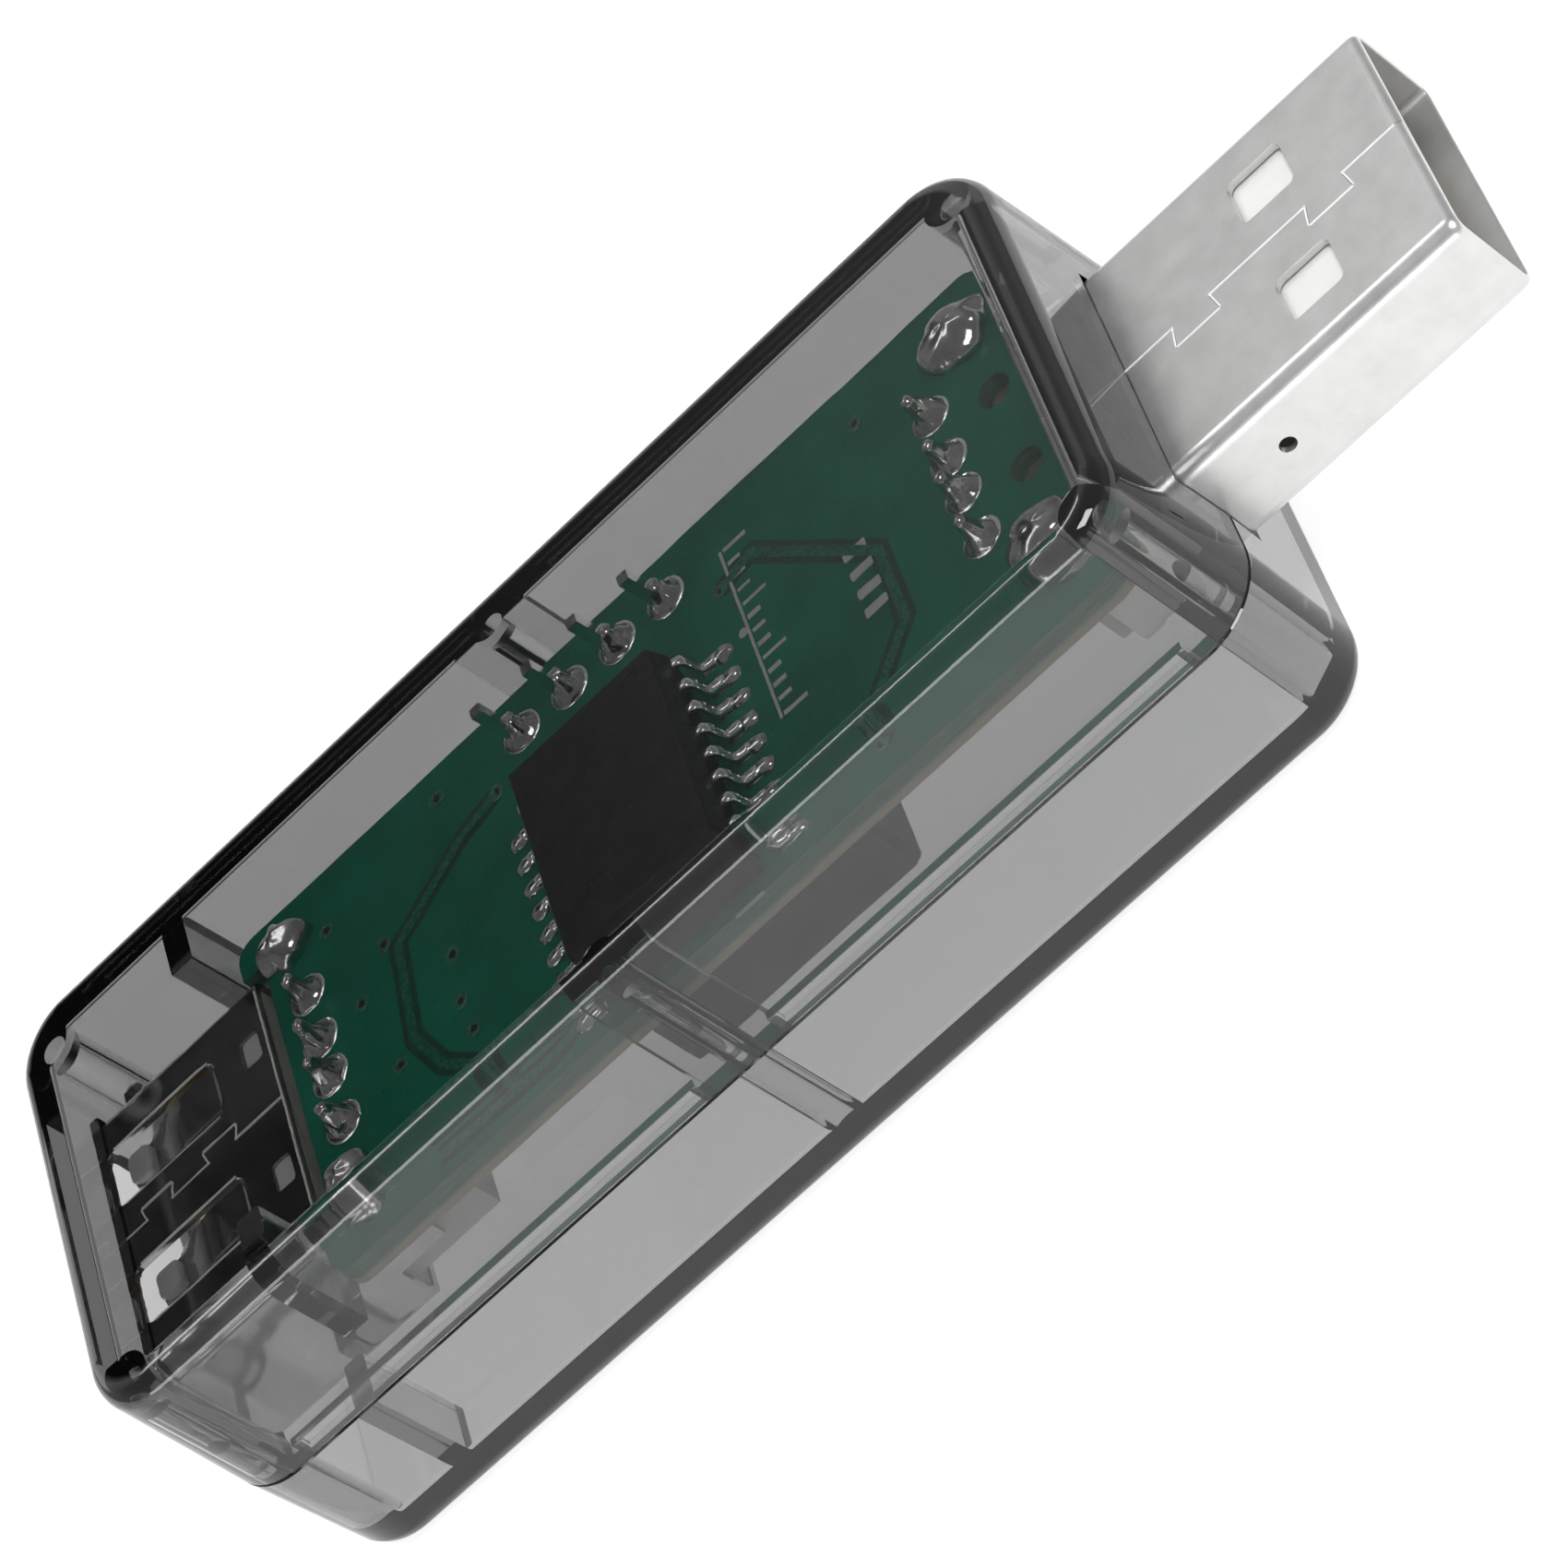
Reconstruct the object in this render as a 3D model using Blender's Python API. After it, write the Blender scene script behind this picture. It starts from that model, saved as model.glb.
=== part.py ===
# Translucent two-shell dongle: plug and socket on one board, isolator chip, flat-lying converter module.
# Frame: +X toward the plug tip, +Z toward the chip side, origin at the middle of the case's bottom face.
# Lengths are written in millimetres and turned into metres by MM.
import math

import bmesh
import bpy
from mathutils import Vector

MM = 0.001

# ---- case ----
HALF_L = 25.9          # half length at the parting plane
HALF_W = 10.8          # half width at the parting plane
CASE_H = 14.5          # total height of the closed case
Z_PART = 6.85          # parting plane of the two shells
DRAFT = 0.028          # mould draft of the outer walls, per mm of height
R_CORNER = 3.0         # vertical corner radius at the parting plane
R_EDGE = 0.95          # fillet round the top and bottom faces
WALL = 1.4             # side wall thickness at the parting plane
FLOOR_T = 1.15         # floor thickness
ROOF_T = 1.1           # roof thickness
R_IN = 1.6             # inner vertical corner radius
LIP_H = 0.62           # height of the lip that stands above the parting plane
LIP_T = 0.6            # thickness of that lip
SEAM = 0.05            # clearance between the two shells at the parting plane
POST_XY = (24.1, 8.95)   # corner posts
POST_R = 1.05
POST_HOLE_R = 0.58
PIN_R = 0.5
PIN_H = 2.6
MID_X = 0.4            # middle posts
MID_Y = 9.6
MID_R = 0.95
MID_HOLE_R = 0.46
MID_PIN_R = 0.38
MID_PAD = 1.85         # half width of the buttress behind each middle post
MID_PAD_Y = 8.98       # its inner face
POST_HOLE_TOP = 12.5
STOP_X = (-17.6, -16.45)   # end stops for the board in the upper shell
STOP_Y = (6.75, 9.6)
STOP_Z0 = 9.3

# ---- board ----
PCB_X = (-16.3, 23.1)
PCB_HALF_W = 8.45
PCB_Z = (9.76, 10.92)
PCB_R = 0.9

# ---- plug ----
PLUG_W, PLUG_H = 12.0, 4.5
PLUG_ZC = 7.45
PLUG_X = (20.6, 39.0)
SHEET = 0.3
PLUG_R = 0.65
PLUG_WIN_X = 33.4
PLUG_WIN = (2.5, 2.3)
PLUG_WIN_Y = 2.9
PLUG_PIN_X = 19.1
PLUG_TAB_X = 21.5
POST_X = 21.75
POST_Y = 2.15

# ---- socket ----
SOCK_W, SOCK_H = 13.1, 5.72
SOCK_ZC = 8.09
SOCK_X = (-25.15, -15.85)
SOCK_R = 0.6
SOCK_PIN_X = -13.6
SOCK_TAB_X = -14.05
SPRING_Y = 3.13
SLOT_X = (-24.6, -18.6)   # spring openings
NOTCH_X = -15.2        # the board is cut back to here behind the socket
NOTCH_Y = 6.72

# ---- chip ----
CHIP_C = (2.6, -2.9)
CHIP_BODY = (7.5, 10.3)
CHIP_Z = (11.06, 13.16)
CHIP_PITCH = 1.27

# ---- converter module ----
MOD_X = (-3.15, 8.45)
MOD_Y = (-4.6, 5.4)
MOD_Z = (3.62, 9.62)
MOD_PIN_Y = 6.35
MOD_PITCH = 2.54
PIN_TOP = 13.1
PIN_LEAN = 0.14

for old in list(bpy.data.objects):
    bpy.data.objects.remove(old, do_unlink=True)

COLOURS = {
    "smoked_shell": ((0.16, 0.17, 0.18), 0.12, 0.0),
    "board_green": ((0.02, 0.10, 0.06), 0.35, 0.0),
    "plug_nickel": ((0.62, 0.61, 0.59), 0.30, 1.0),
    "socket_nickel": ((0.50, 0.50, 0.49), 0.32, 1.0),
    "spring_nickel": ((0.66, 0.66, 0.64), 0.25, 1.0),
    "white_insulator": ((0.86, 0.86, 0.83), 0.45, 0.0),
    "contact_gold": ((0.85, 0.62, 0.25), 0.25, 1.0),
    "chip_epoxy": ((0.018, 0.018, 0.02), 0.4, 0.0),
    "lead_tin": ((0.6, 0.6, 0.6), 0.3, 1.0),
    "module_epoxy": ((0.03, 0.03, 0.032), 0.5, 0.0),
    "capacitor_ceramic": ((0.42, 0.30, 0.18), 0.5, 0.0),
    "resistor_body": ((0.03, 0.03, 0.035), 0.45, 0.0),
}
MATERIALS = {}


def material(name, key):
    """One own material for each node, filled from the shared colour table."""
    col, rough, metal = COLOURS[key]
    m = bpy.data.materials.new(name + "_" + key)
    m.use_nodes = True
    p = m.node_tree.nodes["Principled BSDF"]
    p.inputs["Base Color"].default_value = (*col, 1.0)
    p.inputs["Roughness"].default_value = rough
    p.inputs["Metallic"].default_value = metal
    return m


def finish_bm(bm, name):
    bmesh.ops.remove_doubles(bm, verts=bm.verts, dist=1e-7)
    bmesh.ops.recalc_face_normals(bm, faces=bm.faces)
    me = bpy.data.meshes.new(name)
    bm.to_mesh(me)
    bm.free()
    ob = bpy.data.objects.new(name, me)
    bpy.context.scene.collection.objects.link(ob)
    return ob


def rrect(hx, hy, r, z, n=7, cx=0.0, cy=0.0):
    """Counter-clockwise rounded rectangle ring at height z (mm in, metres out)."""
    r = max(min(r, hx - 1e-3, hy - 1e-3), 1e-3)
    pts = []
    for sx, sy, a0 in ((1, 1, 0.0), (-1, 1, 90.0), (-1, -1, 180.0), (1, -1, 270.0)):
        ox, oy = cx + sx * (hx - r), cy + sy * (hy - r)
        for i in range(n + 1):
            a = math.radians(a0 + 90.0 * i / n)
            pts.append(((ox + r * math.cos(a)) * MM, (oy + r * math.sin(a)) * MM, z * MM))
    return pts


def loft(name, rings):
    """Closed body through rings of equal length, capped at both ends."""
    bm = bmesh.new()
    vs = [[bm.verts.new(p) for p in ring] for ring in rings]
    n = len(rings[0])
    for a, b in zip(vs, vs[1:]):
        for i in range(n):
            bm.faces.new((a[i], a[(i + 1) % n], b[(i + 1) % n], b[i]))
    bm.faces.new(list(reversed(vs[0])))
    bm.faces.new(vs[-1])
    return finish_bm(bm, name)


def box(name, x, y, z):
    x0, x1 = sorted(x)
    y0, y1 = sorted(y)
    z0, z1 = sorted(z)
    ring = lambda q: [(x0 * MM, y0 * MM, q * MM), (x1 * MM, y0 * MM, q * MM), (x1 * MM, y1 * MM, q * MM), (x0 * MM, y1 * MM, q * MM)]
    return loft(name, [ring(z0), ring(z1)])


def cyl(name, cx, cy, r, z, n=24, r2=None):
    r2 = r if r2 is None else r2
    ring = lambda q, rr: [((cx + rr * math.cos(2 * math.pi * i / n)) * MM, (cy + rr * math.sin(2 * math.pi * i / n)) * MM, q * MM) for i in range(n)]
    return loft(name, [ring(z[0], r), ring(z[1], r2)])


def prism(name, poly, z):
    """Straight prism over a polygon in XY."""
    return loft(name, [[(p[0] * MM, p[1] * MM, q * MM) for p in poly] for q in z])


def boolean(target, tools, op):
    for t in tools:
        t.hide_render = True
        t.display_type = "WIRE"
        mod = target.modifiers.new("b", "BOOLEAN")
        mod.operation = op
        mod.solver = "EXACT"
        mod.object = t
        dg = bpy.context.evaluated_depsgraph_get()
        me = bpy.data.meshes.new_from_object(target.evaluated_get(dg))
        target.modifiers.clear()
        old = target.data
        target.data = me
        bpy.data.meshes.remove(old)
        bpy.data.objects.remove(t, do_unlink=True)
    return target


def cut(target, *tools):
    return boolean(target, tools, "DIFFERENCE")


def join(target, *tools):
    return boolean(target, tools, "UNION")


def tidy(ob, key, smooth=35.0):
    """Cleans the mesh, gives it its material and sharp-edge shading."""
    bm = bmesh.new()
    bm.from_mesh(ob.data)
    bmesh.ops.remove_doubles(bm, verts=bm.verts, dist=1e-6)
    bmesh.ops.dissolve_degenerate(bm, edges=bm.edges, dist=1e-7)
    bmesh.ops.dissolve_limit(bm, angle_limit=math.radians(0.6), verts=bm.verts, edges=bm.edges)
    bmesh.ops.triangulate(bm, faces=[f for f in bm.faces if len(f.verts) > 4])
    bmesh.ops.recalc_face_normals(bm, faces=bm.faces)
    lim = math.radians(smooth)
    for f in bm.faces:
        f.smooth = True
    for e in bm.edges:
        e.smooth = len(e.link_faces) == 2 and e.calc_face_angle(0.0) < lim
    bm.to_mesh(ob.data)
    bm.free()
    ob.data.materials.clear()
    ob.data.materials.append(material(ob.name, key))
    ob.data.name = ob.name
    return ob


def set_origin(ob, x, y, z):
    """Moves the node's origin to a point without moving its body."""
    p = Vector((x * MM, y * MM, z * MM))
    for v in ob.data.vertices:
        v.co -= p
    ob.location = p


def inset_at(z, z_far):
    """Outer half-size change at height z by the mould draft."""
    return DRAFT * abs(z - Z_PART)


def outer_rings(z_end, z_start):
    """Rings of a shell's outside from the parting plane to its filleted end face."""
    up = z_end > z_start
    s = 1 if up else -1
    rings = [rrect(HALF_L, HALF_W, R_CORNER, z_start)]
    for i in range(0, 5):
        a = math.radians(90.0 * i / 4)
        z = z_end - s * R_EDGE * (1 - math.sin(a))
        d = inset_at(z, z_end) + R_EDGE * (1 - math.cos(a))
        rings.append(rrect(HALF_L - d, HALF_W - d, R_CORNER - d * 0.75, z))
    return rings if up else list(reversed(rings))


def cavity_rings(z_end, z_start):
    """Rings of a shell's hollow, reaching past the parting plane, with a small inner fillet."""
    up = z_end > z_start
    s = 1 if up else -1
    rf = 0.45
    rings = [rrect(HALF_L - WALL, HALF_W - WALL, R_IN, z_start - s * 1.0)]
    for i in range(0, 4):
        a = math.radians(90.0 * i / 3)
        z = z_end - s * rf * (1 - math.sin(a))
        d = 0.5 * inset_at(z, z_end) + rf * (1 - math.cos(a))
        rings.append(rrect(HALF_L - WALL - d, HALF_W - WALL - d, R_IN - d * 0.6, z))
    return rings if up else list(reversed(rings))


# ---------------------------------------------------------------- lower shell
lower = loft("lower_shell", outer_rings(0.0, Z_PART))
cut(lower, loft("t", cavity_rings(FLOOR_T, Z_PART)))
tools = []
for sx in (1, -1):
    for sy in (1, -1):
        px, py = sx * POST_XY[0], sy * POST_XY[1]
        tools.append(cyl("t", px, py, POST_R, (FLOOR_T - 0.3, Z_PART)))
        tools.append(cyl("t", px, py, PIN_R, (Z_PART - 0.5, Z_PART + PIN_H - 0.3), n=16))
for sy in (1, -1):
    tools.append(cyl("t", MID_X, sy * (MID_Y - 0.05), 0.85, (FLOOR_T - 0.3, Z_PART)))
    tools.append(cyl("t", MID_X, sy * MID_Y, MID_PIN_R, (Z_PART - 0.5, Z_PART + PIN_H - 0.3), n=16))
    y_in, y_out = sy * (HALF_W - WALL), sy * (HALF_W - WALL + LIP_T)
    for xa, xb in ((-22.2, MID_X - MID_PAD - 0.3), (MID_X + MID_PAD + 0.3, 22.2)):
        tools.append(box("t", (xa, xb), (y_in, y_out), (Z_PART - 0.4, Z_PART + LIP_H)))
join(lower, *tools)
SEAT_X = (-24.45, -23.1)
cut(
    lower,
    loft("t", [[(x * MM, y * MM, z * MM) for (y, z) in ((-6.1, 5.12), (6.1, 5.12), (6.1, 9.0), (-6.1, 9.0))] for x in (23.0, 27.0)]),
    loft("t", [[(x * MM, y * MM, z * MM) for (y, z) in ((-6.66, 5.13), (6.66, 5.13), (6.66, 9.0), (-6.66, 9.0))] for x in (-27.0, -23.0)]),
)
# short cradle ribs on the floor under the socket and the module
join(
    lower,
    box("t", (-20.3, -19.3), (-9.6, -6.9), (FLOOR_T - 0.3, 6.2)),
    box("t", (-20.3, -19.3), (6.9, 9.6), (FLOOR_T - 0.3, 6.2)),
)
tidy(lower, "smoked_shell")

# ---------------------------------------------------------------- upper shell
upper = loft("upper_shell", outer_rings(CASE_H, Z_PART + SEAM))
cut(upper, loft("t", cavity_rings(CASE_H - ROOF_T, Z_PART + SEAM)))
for sy in (1, -1):
    cut(upper, box("t", (-22.5, 22.5), (sy * (HALF_W - WALL - 0.3), sy * (HALF_W - WALL + LIP_T + 0.07)), (Z_PART - 0.5, Z_PART + LIP_H + 0.1)))
tools = []
for sx in (1, -1):
    for sy in (1, -1):
        tools.append(cyl("t", sx * POST_XY[0], sy * POST_XY[1], POST_R, (Z_PART + SEAM, CASE_H - ROOF_T + 0.3)))
for sy in (1, -1):
    tools.append(cyl("t", MID_X, sy * MID_Y, MID_R, (Z_PART + SEAM, CASE_H - ROOF_T + 0.3)))
    # wide backing so that the middle post meets the wall behind it
    tools.append(box("t", (MID_X - MID_PAD, MID_X + MID_PAD), (sy * MID_PAD_Y, sy * (HALF_W - 0.7)), (Z_PART + SEAM, CASE_H - ROOF_T + 0.3)))
    tools.append(box("t", STOP_X, (sy * STOP_Y[0], sy * STOP_Y[1]), (STOP_Z0, CASE_H - ROOF_T + 0.3)))
join(upper, *tools)
tools = []
for sx in (1, -1):
    for sy in (1, -1):
        tools.append(cyl("t", sx * POST_XY[0], sy * POST_XY[1], POST_HOLE_R, (Z_PART - 1, POST_HOLE_TOP), n=20))
for sy in (1, -1):
    tools.append(cyl("t", MID_X, sy * MID_Y, MID_HOLE_R, (Z_PART - 1, POST_HOLE_TOP), n=20))
tools.append(loft("t", [[(x * MM, y * MM, z * MM) for (y, z) in ((-6.1, 5.0), (6.1, 5.0), (6.1, 9.78), (-6.1, 9.78))] for x in (23.0, 27.0)]))
tools.append(loft("t", [[(x * MM, y * MM, z * MM) for (y, z) in ((-6.66, 5.0), (6.66, 5.0), (6.66, 11.05), (-6.66, 11.05))] for x in (-27.0, -23.0)]))
cut(upper, *tools)
tidy(upper, "smoked_shell")

# ---------------------------------------------------------------- board
px0, px1 = PCB_X
pcb = loft("board", [rrect((px1 - px0) / 2, PCB_HALF_W, PCB_R, z, n=4, cx=(px0 + px1) / 2) for z in PCB_Z])
ZC = (PCB_Z[0] - 1, PCB_Z[1] + 1)
tools = []
for y in (3.5, 1.0, -1.0, -3.5):
    tools.append(cyl("t", PLUG_PIN_X, y, 0.45, ZC, n=12))
    tools.append(cyl("t", SOCK_PIN_X, y, 0.45, ZC, n=12))
for y in (POST_Y, -POST_Y):
    tools.append(cyl("t", POST_X, y, 0.72, ZC, n=20))
for y in (5.85, -5.85):
    tools.append(loft("t", [rrect(1.15, 0.5, 0.45, z, n=3, cx=PLUG_TAB_X, cy=y) for z in ZC]))
for y in (6.4, -6.4):
    tools.append(loft("t", [rrect(0.85, 0.5, 0.45, z, n=3, cx=SOCK_TAB_X, cy=y) for z in ZC]))
tools.append(box("t", (PCB_X[0] - 1.0, NOTCH_X), (-NOTCH_Y, NOTCH_Y), ZC))
for k in range(4):
    tools.append(cyl("t", (MOD_X[0] + MOD_X[1]) / 2 + MOD_PITCH * (k - 1.5), MOD_PIN_Y, 0.5, ZC, n=12))
cut(pcb, *tools)
tidy(pcb, "board_green")


# ---------------------------------------------------------------- drawn-sheet shells
def tube(name, xr, w, h, zc, r, t, lead_in):
    """Rectangular sheet tube along X, open at both ends. lead_in is the end, +1 or -1, with turned-in edges."""
    def ring(x, dw, rr):
        # ring in YZ, counter-clockwise seen from +X
        pts = []
        hy, hz = w / 2 - dw, h / 2 - dw
        for sy, sz, a0 in ((1, 1, 0.0), (-1, 1, 90.0), (-1, -1, 180.0), (1, -1, 270.0)):
            oy, oz = sy * (hy - rr), zc + sz * (hz - rr)
            for i in range(5):
                a = math.radians(a0 + 90.0 * i / 4)
                pts.append((x * MM, (oy + rr * math.cos(a)) * MM, (oz + rr * math.sin(a)) * MM))
        return pts
    x0, x1 = xr
    e = 0.12
    tip = 0.35
    if lead_in > 0:
        outs = [(x0, 0.0), (x1 - tip, 0.0), (x1 - 0.1, e * 0.6), (x1, e * 1.6)]
        ins = [(x0 - 1, t), (x1 - tip, t), (x1 + 1, t + e * 0.2)]
    else:
        outs = [(x0, e * 1.6), (x0 + 0.1, e * 0.6), (x0 + tip, 0.0), (x1, 0.0)]
        ins = [(x0 - 1, t + e * 0.2), (x0 + tip, t), (x1 + 1, t)]
    ob = loft(name, [ring(x, d, max(r - d, 0.2)) for x, d in outs])
    cut(ob, loft("t", [ring(x, d, max(r - t, 0.2)) for x, d in ins]))
    return ob


def slit(path, width, z):
    """Thin closed strip along an open path in XY, mitred at its bends."""
    left, right = [], []
    n = len(path)
    for i, (x, y) in enumerate(path):
        def unit(a, b):
            dx, dy = b[0] - a[0], b[1] - a[1]
            ln = math.hypot(dx, dy)
            return dx / ln, dy / ln
        d0 = unit(path[i - 1], path[i]) if i else unit(path[0], path[1])
        d1 = unit(path[i], path[i + 1]) if i < n - 1 else d0
        n0, n1 = (-d0[1], d0[0]), (-d1[1], d1[0])
        mx, my = n0[0] + n1[0], n0[1] + n1[1]
        ml = mx * mx + my * my
        k = 2.0 / ml if ml > 0.3 else 1.0
        left.append((x + mx * k * width / 2, y + my * k * width / 2))
        right.append((x - mx * k * width / 2, y - my * k * width / 2))
    return prism("t", left + list(reversed(right)), z)


def puzzle(x_from, x_to, y0, teeth):
    """Seam path with dovetail teeth: (x of the tooth, its depth in y, its length)."""
    s = 1 if x_to > x_from else -1
    path = [(x_from, y0)]
    for tx, dy, ln in teeth:
        path += [(tx, y0), (tx + s * -0.18, y0 + dy), (tx + s * (ln + 0.18), y0 + dy), (tx + s * ln, y0)]
    path.append((x_to, y0))
    return path


# plug shell
plug = tube("plug_shell", PLUG_X, PLUG_W, PLUG_H, PLUG_ZC, PLUG_R, SHEET, 1)
tools = []
for y in (PLUG_WIN_Y, -PLUG_WIN_Y):
    tools.append(loft("t", [rrect(PLUG_WIN[0] / 2, PLUG_WIN[1] / 2, 0.3, z, n=3, cx=PLUG_WIN_X, cy=y) for z in (4.0, 11.0)]))
ring_hole = lambda y, n=14: [((29.2 + 0.36 * math.cos(2 * math.pi * i / n)) * MM, y * MM, (PLUG_ZC + 0.36 * math.sin(2 * math.pi * i / n)) * MM) for i in range(n)]
tools.append(loft("t", [ring_hole(-7.0), ring_hole(7.0)]))
tools.append(slit(puzzle(40.0, 19.5, 0.25, ((36.2, -0.95, 1.7), (29.85, -0.95, 1.7))), 0.1, (8.9, 10.5)))
cut(plug, *tools)
tabs = []
for sy in (1, -1):
    tabs.append(box("t", (PLUG_TAB_X - 0.8, PLUG_TAB_X + 0.8), (sy * 5.7, sy * 6.0), (PLUG_ZC, 11.55)))
join(plug, *tabs)
tidy(plug, "plug_nickel")

# plug insulator: tongue under the top sheet, base block at the rear
ins = box("plug_insulator", (20.75, 37.9), (-5.48, 5.48), (7.55, 9.3))
join(
    ins,
    box("t", (20.75, 24.2), (-5.48, 5.48), (5.62, 8.6)),
    box("t", (19.85, 21.2), (-5.2, 5.2), (5.62, 9.3)),
)
grooves = []
for y in (3.5, 1.0, -1.0, -3.5):
    grooves.append(box("t", (19.0, 37.2), (y - 0.62, y + 0.62), (7.2, 7.86)))
cut(ins, *grooves)
# shell's tabs and windows stay clear of the block
tidy(ins, "white_insulator")

# plug contacts, one bent strip each
def strip(name, pts, half_w, t, y, key):
    """Bent strip along a path in XZ of thickness t and width 2*half_w, centred on y."""
    n = len(pts)
    a_side, b_side = [], []
    for i in range(n):
        d0 = (Vector(pts[i]) - Vector(pts[i - 1])).normalized() if i else (Vector(pts[1]) - Vector(pts[0])).normalized()
        d1 = (Vector(pts[i + 1]) - Vector(pts[i])).normalized() if i < n - 1 else d0
        m = Vector((-(d0.y + d1.y), d0.x + d1.x))
        m = m * (2.0 / m.length_squared) if m.length_squared > 0.2 else m
        p = Vector(pts[i])
        a_side.append(p + m * t / 2)
        b_side.append(p - m * t / 2)
    ring = a_side + list(reversed(b_side))
    ob = loft(name, [[(p.x * MM, yy * MM, p.y * MM) for p in ring] for yy in (y - half_w, y + half_w)])
    return tidy(ob, key)


for k, y in enumerate((3.5, 1.0, -1.0, -3.5)):
    long_end = 37.0 if abs(y) > 2 else 36.2
    strip(
        "plug_contact_%d" % (k + 1),
        [(long_end, 7.78), (long_end - 0.25, 7.58), (19.6, 7.58), (19.25, 7.7), (PLUG_PIN_X, 8.05), (PLUG_PIN_X, 11.75)],
        0.3,
        0.25,
        y,
        "contact_gold",
    )

# ---------------------------------------------------------------- socket shell
sock = tube("socket_shell", SOCK_X, SOCK_W, SOCK_H, SOCK_ZC, SOCK_R, SHEET, -1)
tools = []
for sy in (1, -1):
    # spring openings above and below, small windows behind the upper pair
    tools.append(loft("t", [rrect((SLOT_X[1] - SLOT_X[0]) / 2, 1.45, 0.35, z, n=3, cx=(SLOT_X[0] + SLOT_X[1]) / 2, cy=sy * SPRING_Y) for z in (4.0, 12.0)]))
    tools.append(loft("t", [rrect(0.48, 0.72, 0.2, z, n=3, cx=-16.75, cy=sy * 3.35) for z in (9.5, 12.0)]))
tools.append(slit(puzzle(-27.0, -10.0, 0.0, ((-23.3, 0.7, 1.3), (-19.9, 0.7, 1.4))), 0.1, (10.2, 12.0)))
cut(sock, *tools)
tabs = []
for sy in (1, -1):
    # each side wall runs on below the board and turns up into its solder tab
    tabs.append(box("t", (-16.3, SOCK_TAB_X + 0.6), (sy * 6.25, sy * 6.55), (7.4, 9.45)))
    tabs.append(box("t", (SOCK_TAB_X - 0.6, SOCK_TAB_X + 0.6), (sy * 6.25, sy * 6.55), (8.0, 11.6)))
join(sock, *tabs)
tidy(sock, "socket_nickel")

# retention springs: two above, two below, hinged at their roots
for name, sy, up in (("socket_spring_1", 1, 1), ("socket_spring_2", -1, 1), ("socket_spring_3", 1, -1), ("socket_spring_4", -1, -1)):
    zs = SOCK_ZC + up * (SOCK_H / 2 - SHEET / 2)
    pts = [(SLOT_X[1] - 0.08, zs), (-19.2, zs), (-20.2, zs - up * 0.10), (-22.3, zs - up * 0.50), (-23.1, zs - up * 0.54), (-23.8, zs - up * 0.26)]
    s = strip(name, pts, 1.18, 0.22, sy * SPRING_Y, "spring_nickel")
    set_origin(s, SLOT_X[1] - 0.1, sy * SPRING_Y, zs)

# socket insulator: rear wall, block under the board and tongue
sins = box("socket_insulator", (-16.8, -15.9), (-6.12, 6.12), (5.61, 10.57))
join(
    sins,
    box("t", (-16.2, -11.55), (-5.9, 5.9), (6.2, 9.4)),
    box("t", (-24.3, -16.4), (-5.55, 5.55), (6.27, 8.05)),
)
grooves = []
for y in (3.5, 1.0, -1.0, -3.5):
    grooves.append(box("t", (-23.9, -11.0), (y - 0.62, y + 0.62), (7.7, 8.55)))
    grooves.append(box("t", (-14.3, -11.0), (y - 0.62, y + 0.62), (7.7, 9.9)))
cut(sins, *grooves)
tidy(sins, "white_insulator")
for k, y in enumerate((3.5, 1.0, -1.0, -3.5)):
    strip(
        "socket_contact_%d" % (k + 1),
        [(-23.5, 7.87), (-22.5, 8.37), (-21.3, 8.1), (-20.0, 7.87), (-14.0, 7.87), (SOCK_PIN_X, 8.1), (SOCK_PIN_X, 11.7)],
        0.3,
        0.22,
        y,
        "contact_gold",
    )

# ---------------------------------------------------------------- isolator chip
cx, cy = CHIP_C
z0, z1 = CHIP_Z
hx, hy = CHIP_BODY[0] / 2, CHIP_BODY[1] / 2
zm = (z0 + z1) / 2
ring = lambda dx, z: [((cx + sx * (hx - dx)) * MM, (cy + sy * (hy - dx)) * MM, z * MM) for sx, sy in ((1, 1), (-1, 1), (-1, -1), (1, -1))]
chip = loft("isolator_chip", [ring(0.16, z0), ring(0.0, zm - 0.1), ring(0.0, zm + 0.1), ring(0.18, z1)])
cut(chip, cyl("t", cx + hx - 1.1, cy + hy - 1.1, 0.42, (z1 - 0.06, z1 + 0.3), n=20))
tidy(chip, "chip_epoxy", smooth=20)
for side in (1, -1):
    for i in range(8):
        y = cy + (3.5 - i) * CHIP_PITCH
        xb = cx + side * (hx + 0.03)
        xf = cx + side * 5.15
        pts = [
            (xb, zm),
            (xb + side * 0.38, zm),
            (xb + side * 0.55, zm - 0.14),
            (xb + side * 0.68, PCB_Z[1] + 0.32),
            (xb + side * 0.84, PCB_Z[1] + 0.17),
            (xf, PCB_Z[1] + 0.15),
        ]
        idx = i + 1 if side > 0 else 16 - i
        strip("chip_lead_%02d" % idx, pts, 0.2, 0.24, y, "lead_tin")

# ---------------------------------------------------------------- converter module, lying flat under the board
mx = (MOD_X[0] + MOD_X[1]) / 2
my = (MOD_Y[0] + MOD_Y[1]) / 2
mod = loft(
    "converter_module",
    [rrect((MOD_X[1] - MOD_X[0]) / 2 - d, (MOD_Y[1] - MOD_Y[0]) / 2 - d, 0.3, z, n=2, cx=mx, cy=my) for d, z in ((0.2, MOD_Z[0]), (0.0, MOD_Z[0] + 0.2), (0.0, MOD_Z[1] - 0.2), (0.2, MOD_Z[1]))],
)
tidy(mod, "module_epoxy")


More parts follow.
